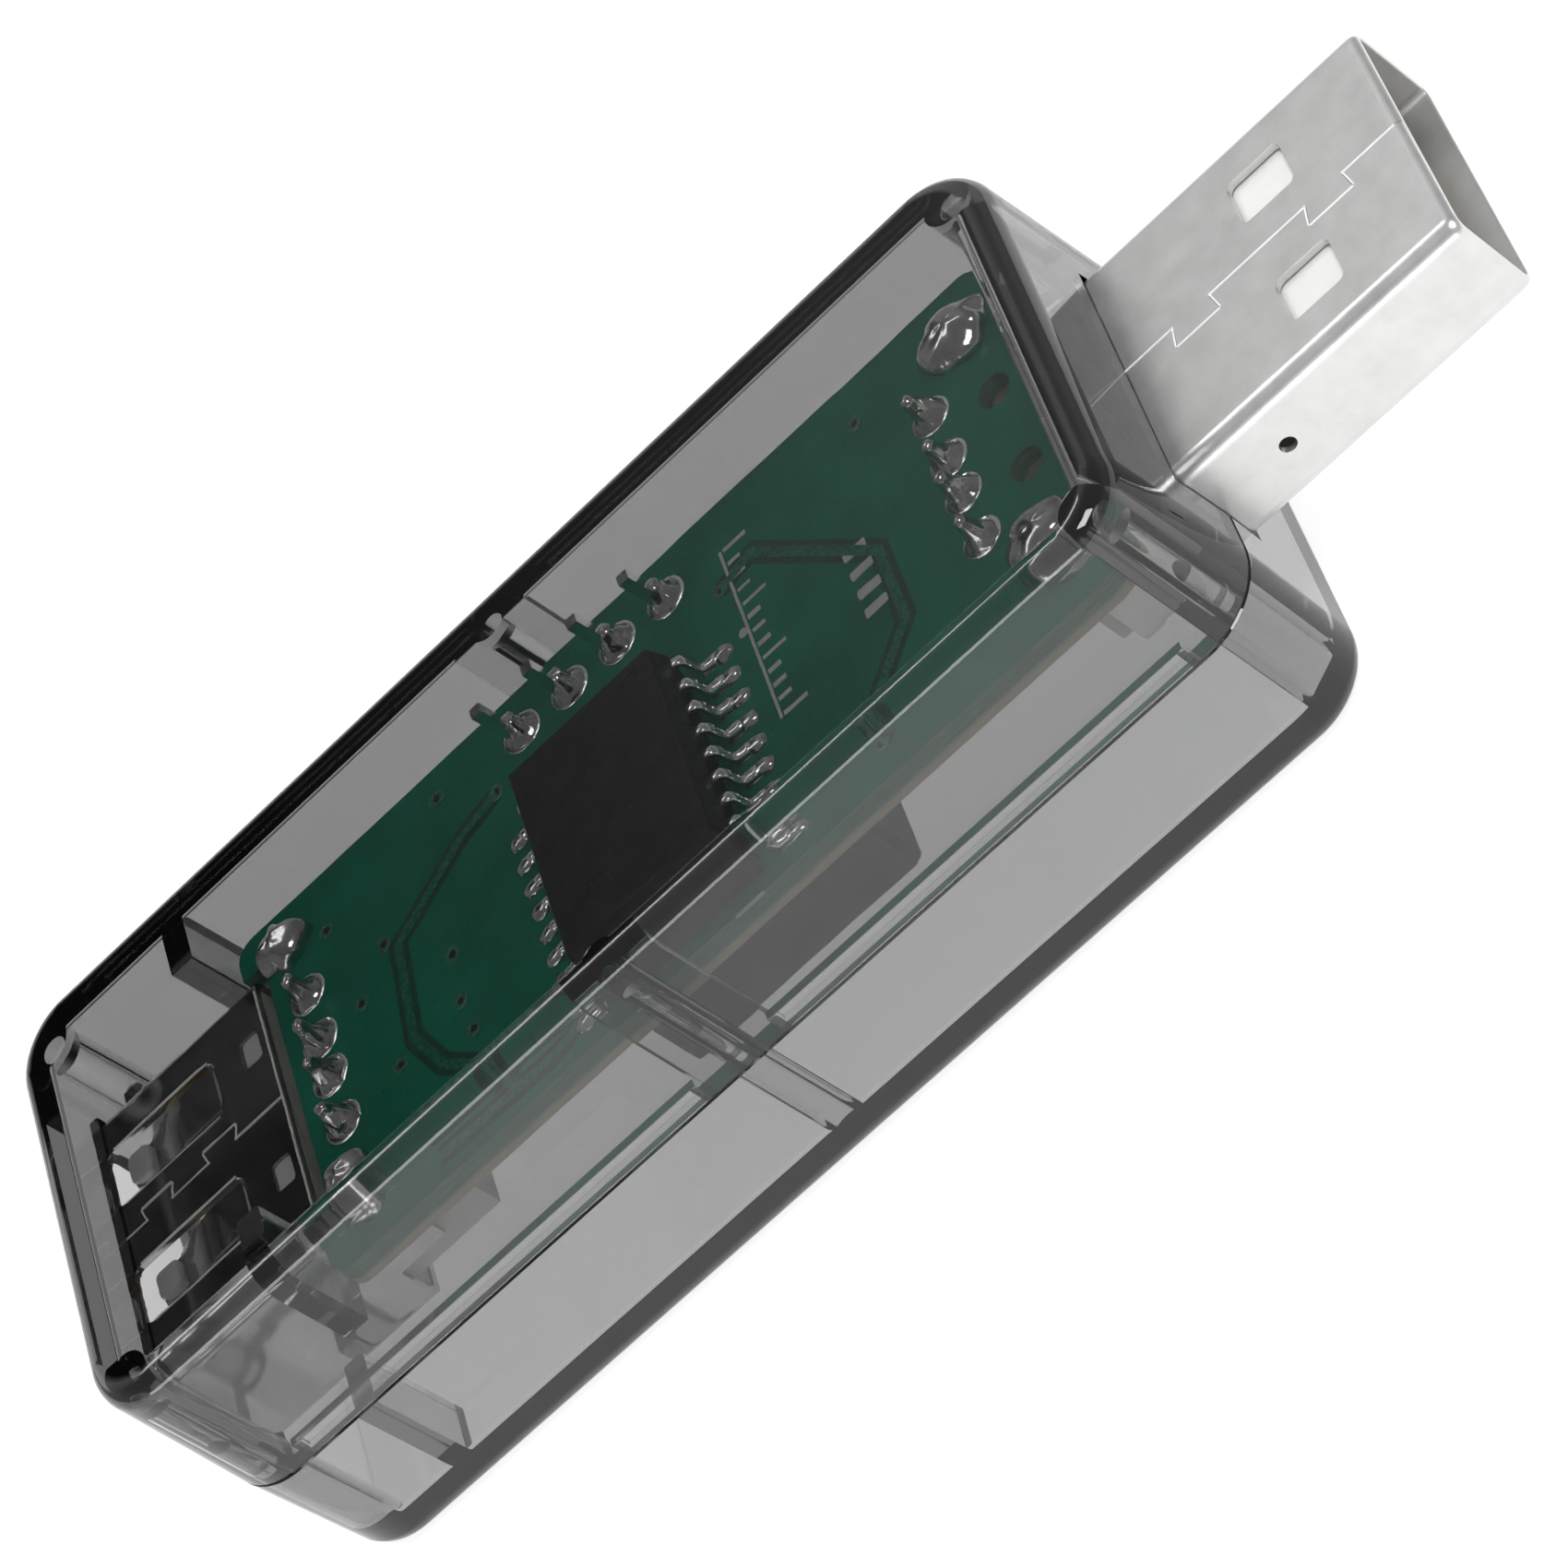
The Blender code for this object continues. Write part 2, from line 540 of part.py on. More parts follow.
def bent_pin(name, pts, half, y_or_x, key):
    """Square wire along a path in YZ at a constant X."""
    n = len(pts)
    a_side, b_side = [], []
    for i in range(n):
        d0 = (Vector(pts[i]) - Vector(pts[i - 1])).normalized() if i else (Vector(pts[1]) - Vector(pts[0])).normalized()
        d1 = (Vector(pts[i + 1]) - Vector(pts[i])).normalized() if i < n - 1 else d0
        m = Vector((-(d0.y + d1.y), d0.x + d1.x))
        m = m * (2.0 / m.length_squared)
        p = Vector(pts[i])
        a_side.append(p + m * half)
        b_side.append(p - m * half)
    ring = a_side + list(reversed(b_side))
    ob = loft(name, [[(xx * MM, p.x * MM, p.y * MM) for p in ring] for xx in (y_or_x - half, y_or_x + half)])
    return tidy(ob, key)


for k in range(4):
    x = mx + MOD_PITCH * (k - 1.5)
    pin = bent_pin(
        "module_pin_%d" % (k + 1),
        [(MOD_Y[1] + 0.04, 6.6), (MOD_PIN_Y - 0.28, 6.6), (MOD_PIN_Y, 6.88), (MOD_PIN_Y, PCB_Z[1]), (MOD_PIN_Y, PIN_TOP - 0.15 * (k % 2))],
        0.25,
        x,
        "lead_tin",
    )
    # above the board each pin leans a little toward the socket
    for v in pin.data.vertices:
        v.co.x -= PIN_LEAN * max(0.0, v.co.z - PCB_Z[1] * MM)

# ---------------------------------------------------------------- small parts under the board
def chip_part(name, c, size, z_top, key):
    sx, sy, sz = size
    ob = loft(name, [rrect(sx / 2 - d, sy / 2 - d, 0.12, z, n=2, cx=c[0], cy=c[1]) for d, z in ((0.05, z_top - sz), (0.0, z_top - sz + 0.05), (0.0, z_top - 0.05), (0.05, z_top))])
    return tidy(ob, key)


Z_UNDER = PCB_Z[0] - 0.06
chip_part("tank_capacitor", (-7.6, -5.2), (3.2, 1.6, 1.6), Z_UNDER, "capacitor_ceramic")
chip_part("input_capacitor", (13.2, -5.4), (2.0, 1.25, 1.0), Z_UNDER, "capacitor_ceramic")
chip_part("output_capacitor", (-7.4, 1.6), (2.0, 1.25, 1.0), Z_UNDER, "capacitor_ceramic")
chip_part("line_resistor_1", (-7.2, 4.4), (1.6, 0.8, 0.5), Z_UNDER, "resistor_body")
chip_part("line_resistor_2", (-7.2, 5.8), (1.6, 0.8, 0.5), Z_UNDER, "resistor_body")
chip_part("line_resistor_3", (13.2, 1.4), (1.6, 0.8, 0.5), Z_UNDER, "resistor_body")
chip_part("line_resistor_4", (13.2, 2.8), (1.6, 0.8, 0.5), Z_UNDER, "resistor_body")
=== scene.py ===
import math
import random

import bmesh
import bpy
from mathutils import Matrix, Vector, noise


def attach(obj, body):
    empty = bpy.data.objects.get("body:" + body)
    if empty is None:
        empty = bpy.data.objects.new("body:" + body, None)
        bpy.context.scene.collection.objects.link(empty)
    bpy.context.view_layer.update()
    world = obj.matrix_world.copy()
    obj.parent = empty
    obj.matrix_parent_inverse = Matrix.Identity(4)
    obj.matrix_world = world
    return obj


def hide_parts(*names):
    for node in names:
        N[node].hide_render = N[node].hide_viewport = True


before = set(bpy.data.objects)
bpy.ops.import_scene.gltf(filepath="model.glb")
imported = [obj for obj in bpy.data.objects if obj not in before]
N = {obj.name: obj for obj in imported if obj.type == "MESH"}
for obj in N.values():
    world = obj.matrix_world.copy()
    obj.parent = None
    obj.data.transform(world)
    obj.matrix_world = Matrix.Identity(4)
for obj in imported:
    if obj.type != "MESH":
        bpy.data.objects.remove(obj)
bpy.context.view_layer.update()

MM = 0.001
scene = bpy.context.scene

# ------------------------------------------------------------------ camera
RIGHT = Vector((0.698749, -0.23781665, -0.67467998))
UP = Vector((0.63732443, 0.6353066, 0.43612279))
FWD = Vector((-0.32491138, 0.7347304, -0.59548621))
cam_data = bpy.data.cameras.new("camera")
cam_data.lens = 151.37
cam_data.sensor_width = 36.0
cam_data.clip_start = 0.005
cam_data.clip_end = 20.0
cam = bpy.data.objects.new("camera", cam_data)
scene.collection.objects.link(cam)
m3 = Matrix((RIGHT, UP, -FWD)).transposed()
cam.matrix_world = Matrix.Translation(Vector((0.08313928, -0.17533525, 0.14862376))) @ m3.to_4x4()
scene.camera = cam
scene.view_settings.view_transform = "Standard"
scene.view_settings.look = "None"
scene.view_settings.exposure = 0.0
scene.view_settings.gamma = 1.0


# ------------------------------------------------------------------ node helpers
def new_mat(name):
    m = bpy.data.materials.new(name)
    m.use_nodes = True
    nt = m.node_tree
    p = nt.nodes["Principled BSDF"]
    out = nt.nodes["Material Output"]
    return m, nt, p, out


def coords(nt, scale=(1.0, 1.0, 1.0), rot=(0.0, 0.0, 0.0)):
    """Object coordinates in millimetres, stretched by scale."""
    tc = nt.nodes.new("ShaderNodeTexCoord")
    mp = nt.nodes.new("ShaderNodeMapping")
    mp.inputs["Scale"].default_value = tuple(1000.0 * s for s in scale)
    mp.inputs["Rotation"].default_value = rot
    nt.links.new(tc.outputs["Object"], mp.inputs["Vector"])
    return mp.outputs["Vector"]


def noise_tex(nt, vec, scale, detail=4.0, rough=0.55, distortion=0.0):
    n = nt.nodes.new("ShaderNodeTexNoise")
    n.inputs["Scale"].default_value = scale
    n.inputs["Detail"].default_value = detail
    n.inputs["Roughness"].default_value = rough
    n.inputs["Distortion"].default_value = distortion
    nt.links.new(vec, n.inputs["Vector"])
    return n.outputs["Fac"]


def voronoi(nt, vec, scale, feature="F1"):
    n = nt.nodes.new("ShaderNodeTexVoronoi")
    n.feature = feature
    n.inputs["Scale"].default_value = scale
    nt.links.new(vec, n.inputs["Vector"])
    return n.outputs["Distance"]


def ramp(nt, fac, stops, interp="LINEAR"):
    r = nt.nodes.new("ShaderNodeValToRGB")
    r.color_ramp.interpolation = interp
    els = r.color_ramp.elements
    while len(els) > 1:
        els.remove(els[-1])
    for i, (pos, col) in enumerate(stops):
        e = els[0] if i == 0 else els.new(pos)
        e.position = pos
        e.color = (*col, 1.0) if len(col) == 3 else col
    nt.links.new(fac, r.inputs["Fac"])
    return r.outputs["Color"]


def maprange(nt, val, a, b, c, d):
    r = nt.nodes.new("ShaderNodeMapRange")
    for k, v in zip(("From Min", "From Max", "To Min", "To Max"), (a, b, c, d)):
        r.inputs[k].default_value = v
    nt.links.new(val, r.inputs["Value"])
    return r.outputs["Result"]


def mathn(nt, op, a, b):
    r = nt.nodes.new("ShaderNodeMath")
    r.operation = op
    for i, v in enumerate((a, b)):
        if isinstance(v, (int, float)):
            r.inputs[i].default_value = v
        else:
            nt.links.new(v, r.inputs[i])
    return r.outputs[0]


def mixcol(nt, fac, a, b, mode="MIX"):
    r = nt.nodes.new("ShaderNodeMix")
    r.data_type = "RGBA"
    r.blend_type = mode
    for s, v in ((r.inputs[0], fac), (r.inputs[6], a), (r.inputs[7], b)):
        if isinstance(v, (int, float)):
            s.default_value = v
        elif isinstance(v, tuple):
            s.default_value = (*v, 1.0)
        else:
            nt.links.new(v, s)
    return r.outputs[2]


def bump(nt, height, strength, dist, chain=None):
    b = nt.nodes.new("ShaderNodeBump")
    b.inputs["Strength"].default_value = strength
    b.inputs["Distance"].default_value = dist
    nt.links.new(height, b.inputs["Height"])
    if chain is not None:
        nt.links.new(chain, b.inputs["Normal"])
    return b.outputs["Normal"]


# ------------------------------------------------------------------ materials
def smoked(name, density, bump_k=1.0, line_k=1.0):
    """Smoked clear moulding: refracts, darkens with depth, faint draw lines from the polished tool."""
    m, nt, p, out = new_mat(name)
    p.inputs["Base Color"].default_value = (1.0, 1.0, 1.0, 1.0)
    p.inputs["Transmission Weight"].default_value = 1.0
    p.inputs["IOR"].default_value = 1.56
    v_line = coords(nt, (0.05, 1.6, 1.6))
    v_soft = coords(nt, (0.22, 0.22, 0.22))
    v_dust = coords(nt)
    lines = noise_tex(nt, v_line, 1.0, 3.0, 0.6)
    waves = noise_tex(nt, v_soft, 1.0, 2.0, 0.5)
    dust = noise_tex(nt, v_dust, 2.4, 6.0, 0.75)
    p_r = maprange(nt, dust, 0.35, 0.75, 0.0, 0.012)
    nt.links.new(p_r, p.inputs["Roughness"])
    n1 = bump(nt, lines, 0.16 * line_k, 0.00001)
    n2 = bump(nt, waves, 0.25 * bump_k, 0.00006, n1)
    nt.links.new(n2, p.inputs["Normal"])
    va = nt.nodes.new("ShaderNodeVolumeAbsorption")
    va.inputs["Color"].default_value = (0.0, 0.0, 0.0, 1.0)
    va.inputs["Density"].default_value = density
    nt.links.new(va.outputs[0], out.inputs["Volume"])
    return m


def metal(name, dark, light, rough=(0.2, 0.34), grain=6.0, dent=0.3, speck=True, stretch=(1.0, 1.0, 1.0), fine_k=0.35):
    """Plated sheet: cloudy tone, fine specks, soft dents, roughness that varies."""
    m, nt, p, out = new_mat(name)
    p.inputs["Metallic"].default_value = 1.0
    v = coords(nt, stretch)
    cloud = noise_tex(nt, v, 0.9, 5.0, 0.6)
    fine = noise_tex(nt, v, grain, 5.0, 0.65)
    specks = voronoi(nt, v, grain * 0.45)
    base = ramp(nt, cloud, [(0.3, dark), (0.7, light)])
    if speck:
        sp = ramp(nt, specks, [(0.0, (1, 1, 1)), (0.09, (0.35, 0.35, 0.35)), (0.14, (0, 0, 0))])
        base = mixcol(nt, mathn(nt, "MULTIPLY", sp, 0.35), base, (0.95, 0.95, 0.94))
    nt.links.new(base, p.inputs["Base Color"])
    rr = maprange(nt, mathn(nt, "ADD", mathn(nt, "MULTIPLY", fine, 0.6), mathn(nt, "MULTIPLY", cloud, 0.4)), 0.35, 0.68, rough[0], rough[1])
    nt.links.new(rr, p.inputs["Roughness"])
    n1 = bump(nt, fine, fine_k, 0.000012)
    n2 = bump(nt, noise_tex(nt, v, 0.45, 2.0, 0.5), dent, 0.00009, n1)
    nt.links.new(n2, p.inputs["Normal"])
    return m


def board_mat(name):
    m, nt, p, out = new_mat(name)
    v = coords(nt)
    sep = nt.nodes.new("ShaderNodeSeparateXYZ")
    nt.links.new(v, sep.inputs[0])
    cloud = noise_tex(nt, v, 0.22, 4.0, 0.55)
    fine = noise_tex(nt, v, 5.0, 4.0, 0.6)
    # weave of the glass cloth under the mask
    w1 = nt.nodes.new("ShaderNodeTexWave")
    w1.wave_type = "BANDS"
    w1.bands_direction = "X"
    w1.inputs["Scale"].default_value = 0.9
    w1.inputs["Distortion"].default_value = 0.5
    nt.links.new(v, w1.inputs["Vector"])
    w2 = nt.nodes.new("ShaderNodeTexWave")
    w2.wave_type = "BANDS"
    w2.bands_direction = "Y"
    w2.inputs["Scale"].default_value = 0.9
    w2.inputs["Distortion"].default_value = 0.5
    nt.links.new(v, w2.inputs["Vector"])
    weave = mathn(nt, "ADD", w1.outputs["Fac"], w2.outputs["Fac"])
    base = ramp(nt, cloud, [(0.30, (0.002, 0.215, 0.130)), (0.70, (0.006, 0.330, 0.215))])
    base = mixcol(nt, mathn(nt, "MULTIPLY", weave, 0.10), base, (0.02, 0.30, 0.19))
    specks = voronoi(nt, v, 1.5)
    sp = ramp(nt, specks, [(0.0, (1, 1, 1)), (0.035, (0.2, 0.2, 0.2)), (0.05, (0, 0, 0))])
    base = mixcol(nt, mathn(nt, "MULTIPLY", sp, 0.55), base, (0.32, 0.48, 0.40))
    # bare glass-epoxy edge of the board below the mask
    geo = nt.nodes.new("ShaderNodeNewGeometry")
    sepn = nt.nodes.new("ShaderNodeSeparateXYZ")
    nt.links.new(geo.outputs["Normal"], sepn.inputs[0])
    up = mathn(nt, "ABSOLUTE", sepn.outputs["Z"], 0.0)
    edge = maprange(nt, up, 0.35, 0.65, 1.0, 0.0)
    streak = noise_tex(nt, coords(nt, (0.5, 0.5, 6.0)), 2.0, 3.0, 0.6)
    zz = nt.nodes.new("ShaderNodeSeparateXYZ")
    nt.links.new(v, zz.inputs[0])
    low = maprange(nt, mathn(nt, "ADD", zz.outputs["Z"], mathn(nt, "MULTIPLY", streak, 0.2)), 10.15, 10.35, 1.0, 0.0)
    edge_col = mixcol(nt, low, ramp(nt, streak, [(0.35, (0.12, 0.27, 0.20)), (0.7, (0.20, 0.36, 0.27))]), (0.66, 0.65, 0.50))
    base = mixcol(nt, edge, base, edge_col)
    nt.links.new(base, p.inputs["Base Color"])
    nt.links.new(maprange(nt, fine, 0.3, 0.7, 0.26, 0.40), p.inputs["Roughness"])
    p.inputs["Coat Weight"].default_value = 0.12
    p.inputs["Coat Roughness"].default_value = 0.10
    p.inputs["Specular IOR Level"].default_value = 0.22
    n1 = bump(nt, weave, 0.12, 0.00001)
    n2 = bump(nt, fine, 0.15, 0.00001, n1)
    nt.links.new(n2, p.inputs["Normal"])
    return m


def plastic(name, dark, light, rough=(0.35, 0.55), grain=4.0, b=0.3, dist=0.00002, coat=0.0, specks=None, sss=0.0):
    m, nt, p, out = new_mat(name)
    v = coords(nt)
    cloud = noise_tex(nt, v, 0.7, 4.0, 0.55)
    fine = noise_tex(nt, v, grain, 5.0, 0.7)
    base = ramp(nt, cloud, [(0.3, dark), (0.7, light)])
    if specks:
        d = voronoi(nt, v, 2.2)
        sp = ramp(nt, d, [(0.0, (1, 1, 1)), (0.05, (0.3, 0.3, 0.3)), (0.075, (0, 0, 0))])
        base = mixcol(nt, mathn(nt, "MULTIPLY", sp, 0.95), base, specks)
    nt.links.new(base, p.inputs["Base Color"])
    nt.links.new(maprange(nt, fine, 0.3, 0.7, rough[0], rough[1]), p.inputs["Roughness"])
    if coat:
        p.inputs["Coat Weight"].default_value = coat
        p.inputs["Coat Roughness"].default_value = 0.2
    if sss:
        p.inputs["Subsurface Weight"].default_value = sss
        p.inputs["Subsurface Radius"].default_value = (0.001, 0.0009, 0.0008)
        p.inputs["Subsurface Scale"].default_value = 0.6
    n1 = bump(nt, fine, b, dist)
    nt.links.new(n1, p.inputs["Normal"])
    return m


M_UP = smoked("smoked_clear_upper", 520.0, 0.6, 1.4)
M_LO = smoked("smoked_clear_lower", 325.0, 0.8, 1.6)
M_PLUG = metal("plug_nickel_satin", (0.60, 0.60, 0.595), (0.67, 0.67, 0.665), rough=(0.30, 0.37), grain=13.0, dent=0.14, fine_k=0.30)
M_SOCK = metal("socket_nickel_bright", (0.46, 0.46, 0.455), (0.54, 0.54, 0.535), rough=(0.10, 0.15), grain=9.0, dent=0.05, fine_k=0.05)
# painted highlight: pale, faintly glowing finish for the thin strips along the seams and slot edges
M_EDGE_HIGHLIGHT = metal("painted_edge_highlight", (0.90, 0.90, 0.90), (0.98, 0.98, 0.98), rough=(0.35, 0.5), grain=9.0, dent=0.4, speck=False)
M_EDGE_HIGHLIGHT.node_tree.nodes["Principled BSDF"].inputs["Metallic"].default_value = 0.3
M_EDGE_HIGHLIGHT.node_tree.nodes["Principled BSDF"].inputs["Emission Color"].default_value = (1.0, 1.0, 1.0, 1.0)
M_EDGE_HIGHLIGHT.node_tree.nodes["Principled BSDF"].inputs["Emission Strength"].default_value = 0.14
M_SPRING = metal("spring_nickel", (0.66, 0.66, 0.65), (0.80, 0.80, 0.79), rough=(0.30, 0.42), grain=9.0, dent=0.1, fine_k=0.12)
M_PAD = metal("coined_pad_worn", (0.74, 0.74, 0.73), (0.86, 0.86, 0.85), rough=(0.34, 0.46), grain=10.0, dent=0.1, fine_k=0.15)
M_PAD.node_tree.nodes["Principled BSDF"].inputs["Metallic"].default_value = 0.12
M_TIN = metal("lead_tin_bright", (0.86, 0.86, 0.86), (0.95, 0.95, 0.94), rough=(0.06, 0.15), grain=5.0, dent=0.5, speck=False)
M_SOLDER = metal("solder_bright", (0.52, 0.515, 0.51), (0.70, 0.695, 0.69), rough=(0.07, 0.18), grain=4.0, dent=0.8, speck=False)
M_GOLD = metal("contact_gold", (0.78, 0.56, 0.22), (0.92, 0.70, 0.33), rough=(0.16, 0.28), grain=6.0, dent=0.15, speck=False)
M_BOARD = board_mat("board_green_mask")
M_TRACE = plastic("mask_over_copper", (0.010, 0.215, 0.13), (0.022, 0.29, 0.18), rough=(0.22, 0.34), grain=5.0, b=0.15, dist=0.00001, coat=0.5)
M_GAP = plastic("mask_over_gap", (0.002, 0.100, 0.062), (0.003, 0.135, 0.085), rough=(0.28, 0.40), grain=5.0, b=0.15, dist=0.00001, coat=0.4)
M_INK = plastic("legend_ink", (0.84, 0.87, 0.84), (0.94, 0.96, 0.93), rough=(0.5, 0.7), grain=9.0, b=0.4, dist=0.00001)
M_CHIP = plastic("chip_epoxy", (0.012, 0.012, 0.013), (0.026, 0.026, 0.027), rough=(0.34, 0.55), grain=8.0, b=0.5, dist=0.00002, specks=(0.22, 0.22, 0.22))
M_MOD = plastic("module_epoxy", (0.060, 0.060, 0.062), (0.095, 0.095, 0.097), rough=(0.4, 0.6), grain=5.0, b=0.5, dist=0.00003)
M_WHITE = plastic("white_nylon", (0.88, 0.88, 0.86), (0.94, 0.94, 0.92), rough=(0.36, 0.52), grain=5.0, b=0.25, sss=0.15)
M_CAP = plastic("capacitor_ceramic", (0.34, 0.22, 0.12), (0.50, 0.35, 0.21), rough=(0.4, 0.6), grain=6.0, b=0.4)
M_RES = plastic("resistor_glaze", (0.015, 0.015, 0.02), (0.04, 0.04, 0.05), rough=(0.2, 0.35), grain=6.0, b=0.2, coat=0.3)
# painted shade: near-black finish standing for the shade inside the via holes
M_HOLE_SHADE = plastic("via_hole_painted_shade", (0.012, 0.014, 0.012), (0.03, 0.028, 0.02), rough=(0.5, 0.7), grain=6.0, b=0.3)


# ------------------------------------------------------------------ mesh helpers
def make(name, bm, mat, body, smooth=32.0, weighted=True, keep=True):
    bmesh.ops.remove_doubles(bm, verts=bm.verts, dist=2e-7)
    bmesh.ops.recalc_face_normals(bm, faces=bm.faces)
    lim = math.radians(smooth)
    for f in bm.faces:
        f.smooth = True
    for e in bm.edges:
        e.smooth = len(e.link_faces) == 2 and e.calc_face_angle(0.0) < lim
    me = bpy.data.meshes.new(name)
    bm.to_mesh(me)
    bm.free()
    ob = bpy.data.objects.new(name, me)
    scene.collection.objects.link(ob)
    if mat is not None:
        me.materials.append(mat)
    if keep:
        dress(ob, body, weighted)
    return ob


def dress(ob, body, weighted=True):
    if weighted:
        w = ob.modifiers.new("normals", "WEIGHTED_NORMAL")
        w.keep_sharp = True
        w.weight = 90
    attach(ob, body)


def loft_into(bm, rings, cap=True, loop=False):
    vs = [[bm.verts.new(p) for p in ring] for ring in rings]
    n = len(rings[0])
    pairs = list(zip(vs, vs[1:]))
    if loop:
        pairs.append((vs[-1], vs[0]))
    for a, b in pairs:
        for i in range(n):
            bm.faces.new((a[i], a[(i + 1) % n], b[(i + 1) % n], b[i]))
    if cap and not loop:
        bm.faces.new(list(reversed(vs[0])))
        bm.faces.new(vs[-1])
    return vs


def loft_ob(rings, loop=False):
    bm = bmesh.new()
    loft_into(bm, rings, loop=loop)
    return make("tool", bm, None, None, keep=False)


def rr(hx, hy, r, z, n=14, cx=0.0, cy=0.0):
    r = max(min(r, hx - 1e-3, hy - 1e-3), 1e-3)
    pts = []
    for sx, sy, a0 in ((1, 1, 0.0), (-1, 1, 90.0), (-1, -1, 180.0), (1, -1, 270.0)):
        ox, oy = cx + sx * (hx - r), cy + sy * (hy - r)
        for i in range(n + 1):
            a = math.radians(a0 + 90.0 * i / n)
            pts.append(((ox + r * math.cos(a)) * MM, (oy + r * math.sin(a)) * MM, z * MM))
    return pts


def rbox(x, y, z, r=0.08, n=3):
    """Box with rounded upright edges."""
    hx, hy = abs(x[1] - x[0]) / 2, abs(y[1] - y[0]) / 2
    cx, cy = (x[0] + x[1]) / 2, (y[0] + y[1]) / 2
    return loft_ob([rr(hx, hy, r, q, n, cx, cy) for q in sorted(z)])


def cyl_ob(cx, cy, r, z, n=40, r2=None):
    r2 = r if r2 is None else r2
    ring = lambda q, q_r: [((cx + q_r * math.cos(2 * math.pi * i / n)) * MM, (cy + q_r * math.sin(2 * math.pi * i / n)) * MM, q * MM) for i in range(n)]
    return loft_ob([ring(z[0], r), ring(z[1], r2)])


def yz_prism(poly, x0, x1):
    return loft_ob([[(x * MM, y * MM, z * MM) for (y, z) in poly] for x in (x0, x1)])


def boolean(target, tools, op):
    for t in tools:
        mod = target.modifiers.new("b", "BOOLEAN")
        mod.operation = op
        mod.solver = "EXACT"
        mod.object = t
        dg = bpy.context.evaluated_depsgraph_get()
        me = bpy.data.meshes.new_from_object(target.evaluated_get(dg))
        target.modifiers.clear()
        old = target.data
        target.data = me
        bpy.data.meshes.remove(old)
        bpy.data.objects.remove(t, do_unlink=True)
    return target


def settle(ob, name, mat, body, smooth=32.0, bevel=0.0, bevel_angle=40.0, segs=2, tri=False):
    """Cleans a boolean result, rounds its sharp edges a little and puts it in its place."""
    bm = bmesh.new()
    bm.from_mesh(ob.data)
    bmesh.ops.remove_doubles(bm, verts=bm.verts, dist=1e-6)
    bmesh.ops.dissolve_degenerate(bm, edges=bm.edges, dist=1e-7)
    bmesh.ops.dissolve_limit(bm, angle_limit=math.radians(0.4), verts=bm.verts, edges=bm.edges)
    if bevel:
        edges = [e for e in bm.edges if len(e.link_faces) == 2 and e.calc_face_angle(0.0) > math.radians(bevel_angle)]
        bmesh.ops.bevel(bm, geom=edges, offset=bevel * MM, offset_type="OFFSET", segments=segs, profile=0.5, affect="EDGES", clamp_overlap=True, miter_outer="ARC")
        bmesh.ops.remove_doubles(bm, verts=bm.verts, dist=5e-7)
        bmesh.ops.dissolve_degenerate(bm, edges=bm.edges, dist=1e-7)
    bmesh.ops.recalc_face_normals(bm, faces=bm.faces)
    lim = math.radians(smooth)
    for f in bm.faces:
        f.smooth = True
    for e in bm.edges:
        e.smooth = len(e.link_faces) == 2 and e.calc_face_angle(0.0) < lim
    bm.to_mesh(ob.data)
    bm.free()
    ob.name = name
    ob.data.name = name
    ob.data.materials.clear()
    ob.data.materials.append(mat)
    dress(ob, body)
    return ob


# ------------------------------------------------------------------ case
HALF_L, HALF_W, CASE_H = 25.9, 10.8, 14.5
Z_PART, DRAFT, R_CORNER, R_EDGE = 6.85, 0.028, 3.0, 0.95
WALL, FLOOR_T, ROOF_T, R_IN = 1.4, 1.15, 1.1, 1.6
LIP_H, LIP_T, SEAM = 0.62, 0.6, 0.05
POST_XY, POST_R, POST_HOLE_R, PIN_R, PIN_H = (24.1, 8.95), 1.05, 0.58, 0.5, 2.6
MID_X, MID_Y, MID_R, MID_HOLE_R, MID_PIN_R, MID_PAD, MID_PAD_Y = 0.4, 9.6, 0.95, 0.46, 0.38, 1.85, 8.98
POST_HOLE_TOP = 12.5
STOP_X, STOP_Y, STOP_Z0 = (-17.6, -16.45), (6.75, 9.6), 9.3


def outer(z_end, z_start):
    s = 1 if z_end > z_start else -1
    rings = [rr(HALF_L - 0.05, HALF_W - 0.05, R_CORNER, z_start), rr(HALF_L, HALF_W, R_CORNER, z_start + s * 0.06)]
    for i in range(9):
        a = math.radians(90.0 * i / 8)
        z = z_end - s * R_EDGE * (1 - math.sin(a))
        d = DRAFT * abs(z_end - Z_PART) + R_EDGE * (1 - math.cos(a)) if i else DRAFT * abs(z - Z_PART)
        d = DRAFT * abs(z_end - Z_PART) * (1 if i else abs(z - Z_PART) / abs(z_end - Z_PART)) + R_EDGE * (1 - math.cos(a))
        rings.append(rr(HALF_L - d, HALF_W - d, R_CORNER - d * 0.75, z))
    return rings if s > 0 else list(reversed(rings))


def cavity(z_end, z_start):
    s = 1 if z_end > z_start else -1
    rf = 0.45
    rings = [rr(HALF_L - WALL, HALF_W - WALL, R_IN, z_start - s * 1.0)]
    for i in range(7):
        a = math.radians(90.0 * i / 6)
        z = z_end - s * rf * (1 - math.sin(a))
        d = 0.5 * DRAFT * abs(z - Z_PART) + rf * (1 - math.cos(a))
        rings.append(rr(HALF_L - WALL - d, HALF_W - WALL - d, R_IN - d * 0.6, z))
    return rings if s > 0 else list(reversed(rings))


